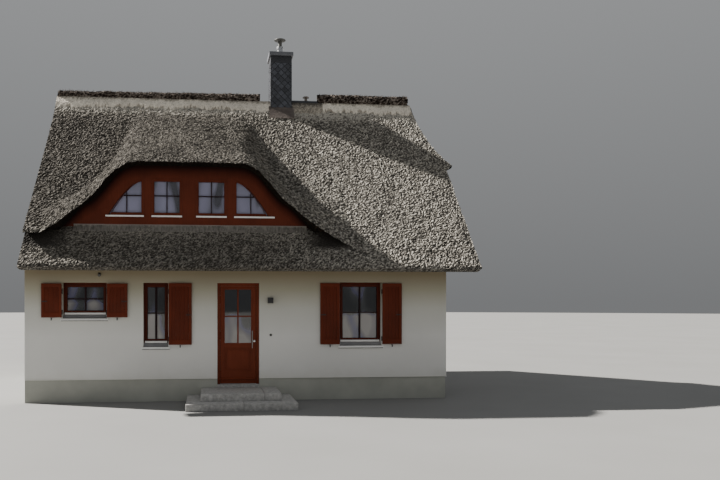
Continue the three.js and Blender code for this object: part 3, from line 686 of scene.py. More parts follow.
def roll(x, y, phase=0):
    """Gentle unevenness of a slope, fading out at its edges."""
    waves = 0.5 * np.sin(3.1 * x + 1.7 * y + phase)
    waves = waves + 0.3 * np.sin(5.3 * x - 2.9 * y + 1.1 + phase)
    waves = waves + 0.2 * np.sin(1.9 * x + 6.7 * y + 2.3 - phase)
    inside = smooth_step(y, -0.2, 0.3) * (1 - smooth_step(y, 2.5, 3.0)) * (1 - smooth_step(x, 8.2, 8.9))
    return ROLL_HEIGHT * waves * inside


def right_edge(y):
    """Where a slope ends on the right: the verge, the half-hip's horn, then its curve."""
    return np.interp(outer_z(y), EDGE_CURVE[:, 1], EDGE_CURVE[:, 0])


def hip_normal(z):
    """Outward direction of the half-hip at a height."""
    slope = np.gradient(HIP_CURVE[:, 0], HIP_CURVE[:, 1])
    lean = np.interp(z, HIP_CURVE[:, 1], slope)
    return unit(np.stack([np.ones_like(z), np.zeros_like(z), -lean], axis=-1))


def row_at(y):
    return int(np.argmin(np.abs(ROWS - y)))


ROW_STEP = CELL * 2 / 3
ROWS = np.concatenate([
    spread(EAVE_Y, LIP_Y, ROW_STEP), spread(LIP_Y, TIP_Y, ROW_STEP)[1:], spread(TIP_Y, RIDGE_Y, ROW_STEP)[1:],
])
COLUMNS = np.concatenate([spread(0, BROW_END, CELL), spread(BROW_END, VERGE, CELL)[1:]])
LIP_ROW, BOARD_ROW, TIP_ROW = row_at(LIP_Y), row_at(BOARD_Y), row_at(TIP_Y)
VERGE_ROW = int(np.argmin(np.abs(outer_z(ROWS) - EDGE_CURVE[0, 1])))
END_COLUMN = int(np.argmin(np.abs(COLUMNS - BROW_END)))
BROW_COLUMNS = COLUMNS[: END_COLUMN + 1]
SQUEEZE_FROM = 8.2
HIP_COLUMNS = 127
EAVE_NORMAL = unit(np.array([0, FOOT_Z - EAVE_Z, EAVE_Y - FOOT_Y]))
REED = ["reed_thatch", "reed_shaded_cut"]
UNDER_TIP = 0.4


def reed_lift(fine, hills, near_edge, near_foot):
    """How far points stand out: reed ends on soft hills, rounded off at edge and foot."""
    return RELIEF * fine + SOFT_RELIEF * hills - EDGE_ROUND * near_edge - EDGE_ROUND * near_foot


def reed_tips(chance, fine, middle=0.5):
    """Tones of reed ends: the ones that stand out are paler, and the low ones darker, partly as painted shade
    in the gaps.
    """
    return np.clip(middle + 0.35 * fine + 0.25 * chance.uniform(-1, 1, fine.shape), 0, 1)


def slope_grid(with_brow, seed, phase=0):
    """One roof slope with its reed-end relief: points and tip values."""
    chance = np.random.default_rng(seed)
    y, x = np.meshgrid(ROWS, COLUMNS, indexing="ij")
    edge = right_edge(y)
    beyond = (x - SQUEEZE_FROM) * (edge - SQUEEZE_FROM) / (VERGE - SQUEEZE_FROM)
    x = np.where(x > SQUEEZE_FROM, SQUEEZE_FROM + beyond, x)
    z = roof_z(y) + roll(x, y, phase) + (brow_lift(x, y) if with_brow else 0)
    base = np.stack([x, y, z], axis=-1)
    normal = unit(np.cross(np.gradient(base, axis=1), np.gradient(base, axis=0)))
    side = np.where((ROWS >= TIP_Y - 0.001)[:, None], hip_normal(outer_z(ROWS)), RIGHT)
    edge_normal = unit(normal[:, -1] + side)
    near_edge = bell(edge - x, EDGE_REACH)[..., None]
    normal = unit(normal * (1 - near_edge) + edge_normal[:, None] * near_edge)
    fine = chance.uniform(-1, 1, x.shape)
    start = np.where(x < BROW_END, LIP_Y, EAVE_Y) if with_brow else EAVE_Y
    hills = wobble(x, y * 1.5, 0.22, seed + 1)
    lift = reed_lift(fine, hills, near_edge[..., 0], bell(y - start, 0.035))
    jitter = chance.uniform(-JITTER, JITTER, (*x.shape, 2))
    jitter[:, 0] = jitter[:, -1] = jitter[0] = jitter[-1] = 0
    jitter[:, END_COLUMN, 0] = 0
    moved = base + normal * lift[..., None]
    moved[..., 0] += jitter[..., 0]
    moved[..., 1] += jitter[..., 1] * LEVEL_SHARE
    moved[..., 2] += jitter[..., 1] * LEVEL_SHARE * PITCH
    return moved, reed_tips(chance, fine, 0.5 + NEAR_LAYER * bell(LAYER_FOOT - y, 0.16))


def cut_face(top, bottom, outward, seed):
    """A trimmed edge of reed ends between two lines, bulging slightly."""
    chance = np.random.default_rng(seed)
    share = np.linspace(0, 1, CUT_ROWS)[:, None, None]
    grid = top[None] * (1 - share) + bottom[None] * share
    rough = CUT_ROUGH * chance.uniform(-1, 1, (CUT_ROWS, len(top), 1)) * (share > 0)
    bulge = CUT_BULGE * np.sin(math.pi * share) + rough
    tips = np.clip(0.5 + 0.5 * chance.uniform(-1, 1, grid.shape[:2]), 0, 1)
    return grid + bulge * outward, tips


def lines_at(x, y, z):
    return np.stack(np.broadcast_arrays(x, y, z), axis=-1).astype(float)


def side_wall(top, low_z, outward, seed):
    """The trimmed end of a slope, from its edge down to the heights given."""
    bottom = top.copy()
    bottom[:, 2] = low_z
    return cut_face(top, bottom, outward, seed)


def party_end(top, low_z, seed):
    """The trimmed end in the plane of the party wall's face."""
    wall, tips = side_wall(top, low_z, LEFT, seed)
    wall[..., 0] = 0
    return wall, tips, 1, True


def end_bottom(y):
    """Height of a slope's underside along its end, with the eave's cut below the foot."""
    cut = EAVE_Z + (FOOT_Z - EAVE_Z) * (y - EAVE_Y) / (FOOT_Y - EAVE_Y)
    return np.where(y < FOOT_Y, cut, inner_z(y))


def under_line(y):
    """The underside of the dormer's thatch at one depth."""
    return lines_at(BROW_COLUMNS, y, brow_under(BROW_COLUMNS, np.full_like(BROW_COLUMNS, y)))


def mirror(grid):
    """The same patch on the back slope."""
    other = grid.copy()
    other[..., 1] = DEPTH - other[..., 1]
    return other


def plain_slope_patches(points, seed, first_column):
    """Eave cut, underside and verge of a plain slope, from one column to its right end."""
    columns = COLUMNS[first_column:]
    foot = lines_at(columns, FOOT_Y, FOOT_Z)
    eave, eave_tips = cut_face(points[0, first_column:], foot, EAVE_NORMAL, seed)
    ridge_under = lines_at(np.minimum(columns, HIP_TOP[0] - THATCH), RIDGE_Y, inner_z(RIDGE_Y))
    line = points[: VERGE_ROW + 1, -1]
    verge, verge_tips = side_wall(line, end_bottom(line[:, 1]), RIGHT, seed + 1)
    return [
        (eave, eave_tips, 0, True),
        (np.stack([eave[-1], ridge_under]), UNDER_TIP, 1, True),
        (verge, verge_tips, 0, False),
    ]


def add_front_thatch():
    """The front slope with the eyebrow over the dormer and its trimmed lip, dark with painted shade."""
    points, tips = slope_grid(True, 11)
    upper = points[LIP_ROW:]
    lower = points[: LIP_ROW + 1, END_COLUMN:]
    patches = [(upper, tips[LIP_ROW:], 0, False), (lower, tips[: LIP_ROW + 1, END_COLUMN:], 0, False)]
    patches += plain_slope_patches(points, 31, END_COLUMN)

    foot_y = LIP_Y + LIP_CUT
    foot = under_line(foot_y)
    lip_top = upper[0, : END_COLUMN + 1]
    down = unit(foot - lip_top)
    outward = unit(np.stack([np.zeros(len(down)), down[:, 2], -down[:, 1]], axis=-1))
    lip, lip_tips = cut_face(lip_top, foot, outward[None], 41)
    under = [lip[-1]] + [under_line(y) for y in (BOARD_Y, 1.0, 1.9, 2.75, 2.95, 3.15, RIDGE_Y)]
    patches += [(lip, lip_tips, 1, True), (np.stack(under), UNDER_TIP, 1, True)]

    left = upper[:, 0]
    cut = np.interp(left[:, 1], [LIP_Y, foot_y], [lip_top[0, 2], foot[0, 2]])
    low = np.where(left[:, 1] < foot_y, cut, brow_under(left[:, 0], left[:, 1]))
    patches.append(party_end(left, low, 43))
    patch_piece("thatch_front_skin", patches, REED, ("thatch_front", "thatch_dormer"))
    return points


def add_apron(front):
    """The band of thatch below the dormer board."""
    own, own_tips = slope_grid(False, 12)
    rows = ROWS[: BOARD_ROW + 1]
    grid = own[: BOARD_ROW + 1, : END_COLUMN + 1].copy()
    grid[..., 2] -= (outer_z(rows) - apron_z(rows))[:, None]
    grid[: LIP_ROW + 1, -1] = front[: LIP_ROW + 1, END_COLUMN]
    eave, eave_tips = cut_face(grid[0], lines_at(BROW_COLUMNS, FOOT_Y, FOOT_Z), EAVE_NORMAL, 51)
    top_under = lines_at(BROW_COLUMNS, BOARD_Y, inner_z(BOARD_Y))
    # Tips carry painted shade on the apron under the lip's overhang, and painted light on its top by the
    # board
    under_lip = smooth_step(rows, LIP_Y - 0.10, LIP_Y + 0.04)[:, None]
    shade = under_lip * (1 - smooth_step(brow_rise(BROW_COLUMNS), 0.25, 0.75))[None]
    board_skylight = BOARD_SKYLIGHT * smooth_step(rows, LIP_Y, 0.05)[:, None]
    tips = (own_tips[: BOARD_ROW + 1, : END_COLUMN + 1] + board_skylight) * (1 - shade)
    patch_piece("thatch_apron_skin", [
        (grid, tips, 0, False),
        (eave, eave_tips, 0, True),
        (np.stack([eave[-1], top_under]), UNDER_TIP, 1, True),
        party_end(grid[:, 0], end_bottom(grid[:, 0, 1]), 52),
    ], REED, ("thatch_apron",))


def add_back_thatch():
    points, tips = slope_grid(False, 13, BACK_PHASE)
    patches = [(points, tips, 0, False), *plain_slope_patches(points, 61, 0)]
    patches.append(party_end(points[:, 0], end_bottom(points[:, 0, 1]), 62))
    mirrored = [(mirror(grid), tip, kind, not flipped) for grid, tip, kind, flipped in patches]
    patch_piece("thatch_back_skin", mirrored, REED, ("thatch_back",))
    return points


def hip_underside(share, foot):
    """Rows of the half-hip's underside, from its cut to the ridge."""
    count = 9
    curve = bezier([HIP_TOP, HIP_BEND, HIP_TIP], count)[::-1]
    directions = unit(np.gradient(curve, axis=0))
    depths = THATCH - HIP_THINNER * smooth_step(np.linspace(1, 0, count), 0.45, 1)
    rows = [foot]
    for (x, z), (dx, dz), depth in list(zip(curve, directions, depths))[1:]:
        x, z = x - depth * dz, z + depth * dx
        y = min(EAVE_Y + (z - EAVE_Z) / PITCH, RIDGE_Y)
        rows.append(lines_at(x, y + share * (DEPTH - 2 * y), z))
    return np.stack(rows)


def add_half_hip(front, back):
    """The clipped gable's thatch, welded in place to the edges of both slopes."""
    chance = np.random.default_rng(71)
    rows = ROWS[TIP_ROW:-1]
    z = outer_z(rows)
    x = np.interp(z, HIP_CURVE[:, 1], HIP_CURVE[:, 0])
    share = np.linspace(0, 1, HIP_COLUMNS)
    y = rows[:, None] + share[None] * (DEPTH - 2 * rows[:, None])
    base = lines_at(x[:, None], y, roof_z(rows)[:, None])
    normal = hip_normal(z)[:, None] * np.ones_like(base)
    fine = chance.uniform(-1, 1, y.shape)
    near_edge = bell(np.minimum(y - rows[:, None], DEPTH - rows[:, None] - y), EDGE_REACH)
    hills = wobble(y, z[:, None], 0.25, 72)
    lift = reed_lift(fine, hills, near_edge, bell(z[:, None] - HIP_TIP[1], 0.05))
    slope = np.array([0, -math.sin(SLOPE), math.cos(SLOPE)])
    lean = np.where((share < 0.5)[:, None], slope, slope * [1, -1, 1])
    part = near_edge[..., None] * 0.5
    normal = unit(normal * (1 - part) + lean[None] * part)
    grid = base + normal * lift[..., None]
    grid[:, 0] = front[TIP_ROW:-1, -1]
    grid[:, -1] = mirror(back[TIP_ROW:-1, -1])
    tips = reed_tips(chance, fine)

    foot_y = EAVE_Y + (HIP_FOOT[1] - EAVE_Z) / PITCH
    foot = lines_at(HIP_FOOT[0], foot_y + share * (DEPTH - 2 * foot_y), HIP_FOOT[1])
    cut_normal = unit(np.array([HIP_TIP[1] - HIP_FOOT[1], 0, HIP_FOOT[0] - HIP_TIP[0]]))
    cut, cut_tips = cut_face(grid[0], foot, cut_normal, 73)
    patch_piece("thatch_half_hip_skin", [
        (grid, tips, 0, False),
        (cut, cut_tips, 1, True),
        (hip_underside(share, cut[-1]), UNDER_TIP, 1, True),
    ], REED, ("thatch_half_hip",))


# Ridge
HEATHER_HALF = [(0.158, -0.045), (0.178, 0.01), (0.168, 0.075), (0.122, 0.132), (0.062, 0.162), (0, 0.17)]
HEATHER_RUNS = {"left": extent("ridge_heather_left", 0), "right": extent("ridge_heather_right", 0)}
TWIGS_PER_METRE = 420
TWIG_RADIUS = 0.004
LAYER_REACH = RIDGE_Y - LAYER_FOOT


def spikes(name, roots, directions, lengths, radius, material):
    """Many thin three-sided spikes in one mesh."""
    along = unit(directions)
    across = unit(np.cross(along, np.array([0.31, 0.83, 0.46])))
    third = np.cross(along, across)
    corners = []
    for turn in (0, math.tau / 3, 2 * math.tau / 3):
        corners.append(roots + radius * (across * math.cos(turn) + third * math.sin(turn)))
    points = np.stack([*corners, roots + along * lengths[:, None]], axis=1)
    base = np.arange(len(roots))[:, None] * 4
    faces = [base + np.array(face) for face in ([0, 1, 3], [1, 2, 3], [2, 0, 3], [0, 2, 1])]
    mesh = bpy.data.meshes.new(name)
    mesh.from_pydata((points.reshape(-1, 3) + np.array(HOUSE)).tolist(), [], np.concatenate(faces).tolist())
    chance = np.random.default_rng(len(roots))
    set_tips(mesh, np.repeat(chance.uniform(0, 1, len(roots)), 4))
    register(add_object(name, mesh), [material], "house", ())


def add_heather(side, seed):
    """A roll of heather along the crown, with loose twigs standing out of it."""
    chance = np.random.default_rng(seed)
    x0, x1 = HEATHER_RUNS[side]
    half = np.array(HEATHER_HALF)
    section = np.concatenate([half * [-1, 1], half[-2::-1]])
    fine = np.linspace(0, len(section) - 1, 27)
    offset, height = (np.interp(fine, np.arange(len(section)), section[:, axis]) for axis in (0, 1))
    columns = spread(x0 + 0.02, x1 - 0.02, 0.035)
    x = np.broadcast_to(columns, (len(offset), len(columns)))
    climb = -0.04 + 0.011 * columns
    sag = climb + 0.012 * wobble(columns, 0, 0.7, seed) + 0.012 * wobble(columns, 3, 0.16, seed)
    lifted = (height + 0.045)[:, None] / 0.215
    rough = chance.uniform(-0.014, 0.014, (*x.shape, 3))
    rough[0] = rough[-1] = 0
    grid = lines_at(x, RIDGE_Y + offset[:, None], RIDGE_TOP + height[:, None] + sag[None] * lifted) + rough
    patches = [(grid, chance.uniform(0, 1, x.shape), 0, False), (np.stack([grid[0], grid[-1]]), 0.2, 0, True)]
    for column, flipped in ((0, True), (-1, False)):
        rim = grid[:, column]
        middle = np.broadcast_to(rim.mean(axis=0), rim.shape)
        patches.append((np.stack([rim, middle]), 0.3, 0, flipped))
    patch_piece(f"heather_roll_{side}", patches, ["heather"], (f"ridge_heather_{side}",))
    count = int((x1 - x0) * TWIGS_PER_METRE)
    row = chance.integers(2, len(offset) - 2, count)
    column = chance.integers(1, len(columns) - 1, count)
    outward = np.stack([np.zeros(count), offset[row], height[row] - 0.02], axis=-1)
    lean = chance.uniform(-1, 1, (count, 3)) * [0.30, 0.09, 0.07]
    lengths = chance.uniform(0.03, 0.085, count)
    directions = unit(outward) * 0.10 + lean
    spikes(f"heather_twigs_{side}", grid[row, column], directions, lengths, TWIG_RADIUS, "heather")


def add_ridge_layer():
    """The smooth pale layer of reed bent over the ridge under the heather."""
    chance = np.random.default_rng(81)
    offset = np.concatenate([spread(-LAYER_REACH, 0, 0.022), spread(0, LAYER_REACH, 0.022)[1:]])
    columns = spread(0, HIP_TOP[0] - 0.03, 0.04)
    ragged = 0.12 * wobble(columns, 1, 0.35, 82) + 0.10 * chance.uniform(-1, 1, len(columns)) - 0.08
    reach = offset[:, None] * (1 + ragged[None])
    z = roof_z(RIDGE_Y - np.abs(reach), LAYER_RISE) - 0.02 * (np.abs(offset)[:, None] > LAYER_REACH - 0.01)
    x = np.broadcast_to(columns, reach.shape)
    grid = lines_at(x, RIDGE_Y + reach, z)
    grid[..., 2] += chance.uniform(-0.004, 0.004, x.shape) + 0.012
    # Tips carry painted light and shade: pale on the lit lower part, dark in the heather's shadow and between
    # the chimney and the heather, where the chimney's shadow falls
    heather_shade = 1 - smooth_step(np.abs(offset), 0.18, 0.28)[:, None]
    shaded = (columns > extent("chimney_stack", 0)[1] - 0.05) & (columns < HEATHER_RUNS["right"][0] + 0.1)
    tips = 0.95 - 0.45 * heather_shade - 0.55 * shaded[None] + 0.2 * chance.uniform(-1, 1, x.shape)
    under = lines_at(columns, RIDGE_Y + offset[[0, -1]][:, None], RIDGE_TOP - 0.6)
    patch_piece("ridge_reed_layer", [
        (grid, np.clip(tips, 0, 1), 0, False),
        (np.stack([grid[0], under[0]]), 0.5, 0, True),
        (np.stack([grid[-1], under[1]]), 0.5, 0, False),
    ], ["reed_pale"])


SADDLE_HALF = [(-0.175, -0.075), (-0.165, 0.0), (-0.07, 0.038)]
SADDLE_INSIDE = [(0.155, -0.05), (0.06, 0.0), (-0.06, 0.0), (-0.155, -0.05)]
VENT_PROFILE = [
    (0, 0), (0.060, 0), (0.036, 0.02), (0.036, 0.098), (0.05, 0.102), (0.086, 0.096), (0.088, 0.106),
    (0.06, 0.130), (0.02, 0.141), (0, 0.142),
]


def add_saddle_and_vent():
    """Folded sheet over the crown between the chimney and the heather, with a vent on it."""
    outline = SADDLE_HALF + [(-offset, z) for offset, z in reversed(SADDLE_HALF)] + SADDLE_INSIDE
    section = [(RIDGE_Y + offset, RIDGE_TOP + z) for offset, z in outline]
    saddle = bmesh.new()
    bar_along_x(saddle, section, *extent("ridge_saddle", 0))
    solid_piece("ridge_metal_saddle", saddle, "slate", replaces=("ridge_saddle",), bevel=0.006)
    centre = (sum(extent("vent_pipe", 0)) / 2, RIDGE_Y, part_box("vent_pipe")[0].z)
    turned_piece("ridge_vent", VENT_PROFILE, centre, "lead", replaces=("vent_pipe",))


# Chimney
SLATES_FROM, BAND_FROM = 7.0, 8.42
SLATE_SIZE = 0.90
BAND_LIP, CORNER_STRIP = 0.013, 0.014
CAP_MARGIN, CAP_DROP = 0.018, 0.03
FLASHING_REACH, FLASHING_SIDE, SHEET = 0.27, 0.06, 0.012
PIPE_PROFILE = [
    (0, 0), (0.10, 0), (0.10, 0.02), (0.074, 0.03), (0.074, 0.17), (0.098, 0.178), (0.098, 0.19),
    (0.074, 0.198), (0.074, 0.214), (0.098, 0.222), (0.098, 0.232), (0.05, 0.243), (0, 0.243),
]
COWL_PROFILE = [
    (0, 0.242), (0.05, 0.242), (0.05, 0.396), (0.06, 0.402), (0.150, 0.409), (0.154, 0.415),
    (0.151, 0.423), (0.06, 0.446), (0, 0.452),
]


def slate_face(shape, layer, corner, along, outward, width, count, chance):
    """Diamond slates over one upright face, each tilted so its lower tip stands out."""
    half = width / count
    rows = int((BAND_FROM - SLATES_FROM) / half) + 1
    for row in range(rows):
        z = BAND_FROM - row * half
        for place in range(row % 2, count + 1, 2):
            tone = chance.uniform(0, 1)
            fronts, backs = [], []
            for dx, dz in ((0, half), (half, 0), (0, -half), (-half, 0)):
                across = min(max(place * half + dx * SLATE_SIZE, 0), width)
                height = min(z + dz * SLATE_SIZE, BAND_FROM)
                lift = 0.006 + 0.006 * (half - dz) / half
                ground = corner + along * across + Vector((0, 0, height))
                fronts.append(shape.verts.new(ground + outward * lift))
                backs.append(shape.verts.new(ground + outward * 0.001))
            for vert in fronts + backs:
                vert[layer] = tone
            close_between(shape, fronts, backs)


def add_slates(x0, x1, y0, y1):
    chance = np.random.default_rng(91)
    slates = bmesh.new()
    layer = slates.verts.layers.float.new("tip")
    right, deep = Vector((1, 0, 0)), Vector((0, 1, 0))
    slate_face(slates, layer, Vector((x0, y0, 0)), right, -deep, x1 - x0, 6, chance)
    slate_face(slates, layer, Vector((x1, y0, 0)), deep, right, y1 - y0, 7, chance)
    slate_face(slates, layer, Vector((x1, y1, 0)), -right, deep, x1 - x0, 6, chance)
    slate_face(slates, layer, Vector((x0, y1, 0)), -deep, -right, y1 - y0, 7, chance)
    bmesh.ops.dissolve_degenerate(slates, edges=slates.edges, dist=0.0005)
    solid_piece("chimney_slates", slates, "slate", bevel=0)


def add_flashing(x0, x1, y0, y1):
    """Bent sheet at the chimney's foot, on the front slope and on the back one."""
    skirt = bmesh.new()
    foot_z = roof_z(y0 - FLASHING_REACH) + 0.030
    upper = roof_z(y0, LAYER_RISE) + 0.020
    for side, face_y in ((-1, y0), (1, y1)):
        foot_y = RIDGE_Y + side * (RIDGE_Y - y0 + FLASHING_REACH)
        for x in (x0 - FLASHING_SIDE, x1 + FLASHING_SIDE):
            for y, z in ((foot_y, foot_z), (face_y, upper), (face_y, upper + SHEET)):
                skirt.verts.new((x, y, z))
    skirt.verts.ensure_lookup_table()
    for start in (0, 6):
        left, other = skirt.verts[start:start + 3], skirt.verts[start + 3:start + 6]
        for index in range(2):
            skirt.faces.new((left[index], other[index], other[index + 1], left[index + 1]))
    bmesh.ops.solidify(skirt, geom=skirt.faces, thickness=SHEET)
    solid_piece("chimney_flashing", skirt, "lead", bevel=0)


def add_chimney():
    x0, x1 = extent("chimney_stack", 0)
    y0, y1 = extent("chimney_stack", 1)
    top = extent("chimney_stack", 2)[1]
    add_slates(x0, x1, y0, y1)
    boxes = [((x0 - BAND_LIP, y0 - BAND_LIP, BAND_FROM), (x1 + BAND_LIP, y1 + BAND_LIP, top - 0.002))]
    for x in (x0, x1):
        for y in (y0, y1):
            low = (x - CORNER_STRIP, y - CORNER_STRIP, SLATES_FROM)
            boxes.append((low, (x + CORNER_STRIP, y + CORNER_STRIP, BAND_FROM)))
    blocks_piece("chimney_band", boxes, "slate", bevel=0.004)
    low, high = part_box("chimney_cap")
    around = Vector((CAP_MARGIN, CAP_MARGIN, 0))
    cap = (low - HOUSE - around - Vector((0, 0, CAP_DROP)), high - HOUSE + around)
    blocks_piece("chimney_cap_slab", [cap], "cap_sheet", replaces=("chimney_cap",), bevel=0.008)
    add_flashing(x0, x1, y0, y1)
    place = ((x0 + x1) / 2, RIDGE_Y, extent("chimney_cowl", 2)[0])
    turned_piece("chimney_cowl_pipe", PIPE_PROFILE, place, "bare_metal", 48)
    # The cowl's dark top is painted shade of its underside
    turned_piece("chimney_cowl_top", COWL_PROFILE, place, "dull_metal", 48, ("chimney_cowl",))


# Dormer front
DORMER_GLASS = (4.060, 4.775)
DORMER_SILL = 3.98
DORMER_BAR, BAR_HALF = 4.445, 0.011
DORMER_PANES = [(1.766, 2.430, -1), (2.670, 3.250, 0), (3.630, 4.220, 0), (4.455, 5.120, 1)]
DORMER_RAIL = 0.038
DORMER_SHEET = (0.98, 6.02)
# How far along the lip, and at how many points, the board's painted shade follows it
LIP_SPAN, LIP_POINTS = 2.9, 14


def pane_outline(pane, grow):
    """A dormer window's outline; the outer two follow the eyebrow's curve."""
    x0, x1, slant = pane
    z0, z1 = DORMER_GLASS[0] - grow, DORMER_GLASS[1] + grow
    if slant == 0:
        return rectangle(x0 - grow, x1 + grow, z0, z1)
    tall = x1 + grow if slant < 0 else x0 - grow
    low = x0 - grow * 0.6 if slant < 0 else x1 + grow * 0.6
    bend = (low + (tall - low) * 0.62, z1 - 0.03)
    curve = bezier([(tall, z1), bend, (low, z0)], 12)
    outline = [(tall, z0)] + [tuple(point) for point in curve]
    return outline if slant < 0 else outline[::-1]


def bar_ends(pane):
    """Where a dormer window's bars stop: top of the upright one, left and right of the level one."""
    x0, x1, slant = pane
    if slant == 0:
        return DORMER_GLASS[1], x0, x1
    outline = np.array(pane_outline(pane, 0))
    curve = outline[1:] if slant < 0 else outline[:-1][::-1]
    top = np.interp((x0 + x1) / 2, *(curve[::-1] if slant < 0 else curve).T)
    edge = np.interp(-DORMER_BAR, -curve[:, 1], curve[:, 0])
    return (top, edge, x1) if slant < 0 else (top, x0, edge)


def add_dormer_window(name, pane):
    face = BOARD_Y
    x0, x1, slant = pane
    joinery = bmesh.new()
    ring(joinery, pane_outline(pane, DORMER_RAIL), pane_outline(pane, -0.002), face - 0.012, face + 0.059)
    ring(joinery, pane_outline(pane, 0.012), pane_outline(pane, -0.018), face + 0.004, face + 0.05)
    solid_piece(f"{name}_joinery", joinery, "board_paint_shaded", replaces=(name,), bevel=0.003)
    middle = (x0 + x1) / 2
    top, left, right = bar_ends(pane)
    blocks_piece(f"{name}_bars", [
        ((middle - BAR_HALF, face + 0.02, DORMER_GLASS[0]), (middle + BAR_HALF, face + 0.045, top)),
        ((left, face + 0.021, DORMER_BAR - BAR_HALF), (right, face + 0.044, DORMER_BAR + BAR_HALF)),
    ], "bar_paint_shaded", bevel=0.002)
    left = x0 - DORMER_RAIL * (3 if slant < 0 else 1)
    right = x1 + DORMER_RAIL * (5 if slant > 0 else 1)
    sill = ((left, face - 0.04, DORMER_SILL), (right, face - 0.0005, DORMER_SILL + 0.034))
    blocks_piece(f"{name}_sill", [sill], "pale_sill", bevel=0.004)


def add_dormer_sheets():
    """Folded sheet at the board's foot, with a strip along its upper edge."""
    sheet = bmesh.new()
    fold, foot = BOARD_Y - 0.004, BOARD_Y - 0.10
    bend_z, foot_z = apron_z(fold) + 0.02, apron_z(foot) + 0.012
    section = [(foot, foot_z), (fold, bend_z), (fold, bend_z + 0.03), (fold + 0.003, bend_z + 0.03)]
    section += [(fold + 0.003, bend_z - 0.012), (foot, foot_z - 0.012)]
    bar_along_x(sheet, section, *DORMER_SHEET)
    solid_piece("dormer_flashing", sheet, "dormer_sheet", bevel=0.002)
    x0, x1 = DORMER_SHEET
    strip = ((x0, BOARD_Y - 0.012, bend_z + 0.026), (x1, BOARD_Y - 0.001, bend_z + 0.042))
    blocks_piece("dormer_foot_strip", [strip], "lead", bevel=0.002)


def shade_board_under_lip():
    """Painted shade: the red board gets darker towards the lip of thatch over it."""
    look = Nodes(MATERIALS["board_paint_shaded"].node_tree)
    colour = look.tree.nodes["Principled BSDF"].inputs["Base Color"]
    painted = colour.links[0].from_socket
    x, _, z = look.place()
    from_middle = look.calc("SUBTRACT", x, BROW_MIDDLE + HOUSE.x)
    share = look.times(look.calc("ABSOLUTE", from_middle), 1 / LIP_SPAN)
    outline = look.add("FloatCurve")
    curve = outline.mapping.curves[0]
    shares = np.linspace(0, 1, LIP_POINTS)
    lip_foot = np.full(LIP_POINTS, LIP_Y + LIP_CUT)
    heights = brow_under(BROW_MIDDLE + shares * LIP_SPAN, lip_foot) / RIDGE_TOP
    curve.points[0].location = (shares[0], heights[0])
    curve.points[1].location = (shares[-1], heights[-1])
    for place, height in list(zip(shares, heights))[1:-1]:
        curve.points.new(place, height)
    outline.mapping.update()
    look.feed(outline.inputs["Value"], share)
    below = look.calc("SUBTRACT", look.times(outline.outputs["Value"], RIDGE_TOP), z)
    shade = look.ramp(below, [(0.02, (0.16, 0.13, 0.13)), (0.11, (0.55, 0.52, 0.50)), (0.26, grey(1))])
    look.feed(colour, look.shade(painted, shade))


# Windows in the walls
WINDOW_RAIL = 0.0623
WALL_WINDOWS = [
    ("window_small", "front", 0.032), ("window_tall", "front", 0.046), ("window_right", "front", 0.036),
    ("gable_window_low", "gable", 0.036), ("gable_window_high", "gable", 0.036),
    ("back_window_left", "back", 0.036), ("back_window_right", "back", 0.036),
]
SILL_OUT = 0.037
SILL_NOSE = [(-0.045, -0.039), (-0.045, -0.032), (-0.024, 0.003), (-0.0005, 0.003), (-0.0005, -0.039)]
RAIN_BAR = [(0.082, 0.086), (0.082, 0.118), (0.106, 0.130), (0.106, 0.086)]
SILL_SLOPE = [
    (0.0005, -0.039), (0.0005, 0.002), (0.030, 0.006), (0.098, 0.084), (0.119, 0.084), (0.119, -0.039),
]


def opening_of(name, wall):
    """Width and height of a window's opening, and the matrix that places its lower corner."""
    low, high = extent(f"{name}_glass", 1 if wall == "gable" else 0)
    low, high = low - WINDOW_RAIL, high + WINDOW_RAIL
    z0, z1 = extent(f"{name}_glass", 2)
    z0, z1 = z0 - WINDOW_RAIL, z1 + WINDOW_RAIL
    corner, turn = {
        "front": ((low, 0, z0), 0),
        "gable": ((WIDTH, low, z0), 90),
        "back": ((high, DEPTH, z0), 180),
    }[wall]
    return high - low, z1 - z0, Matrix.Translation(corner) @ Matrix.Rotation(math.radians(turn), 4, "Z")


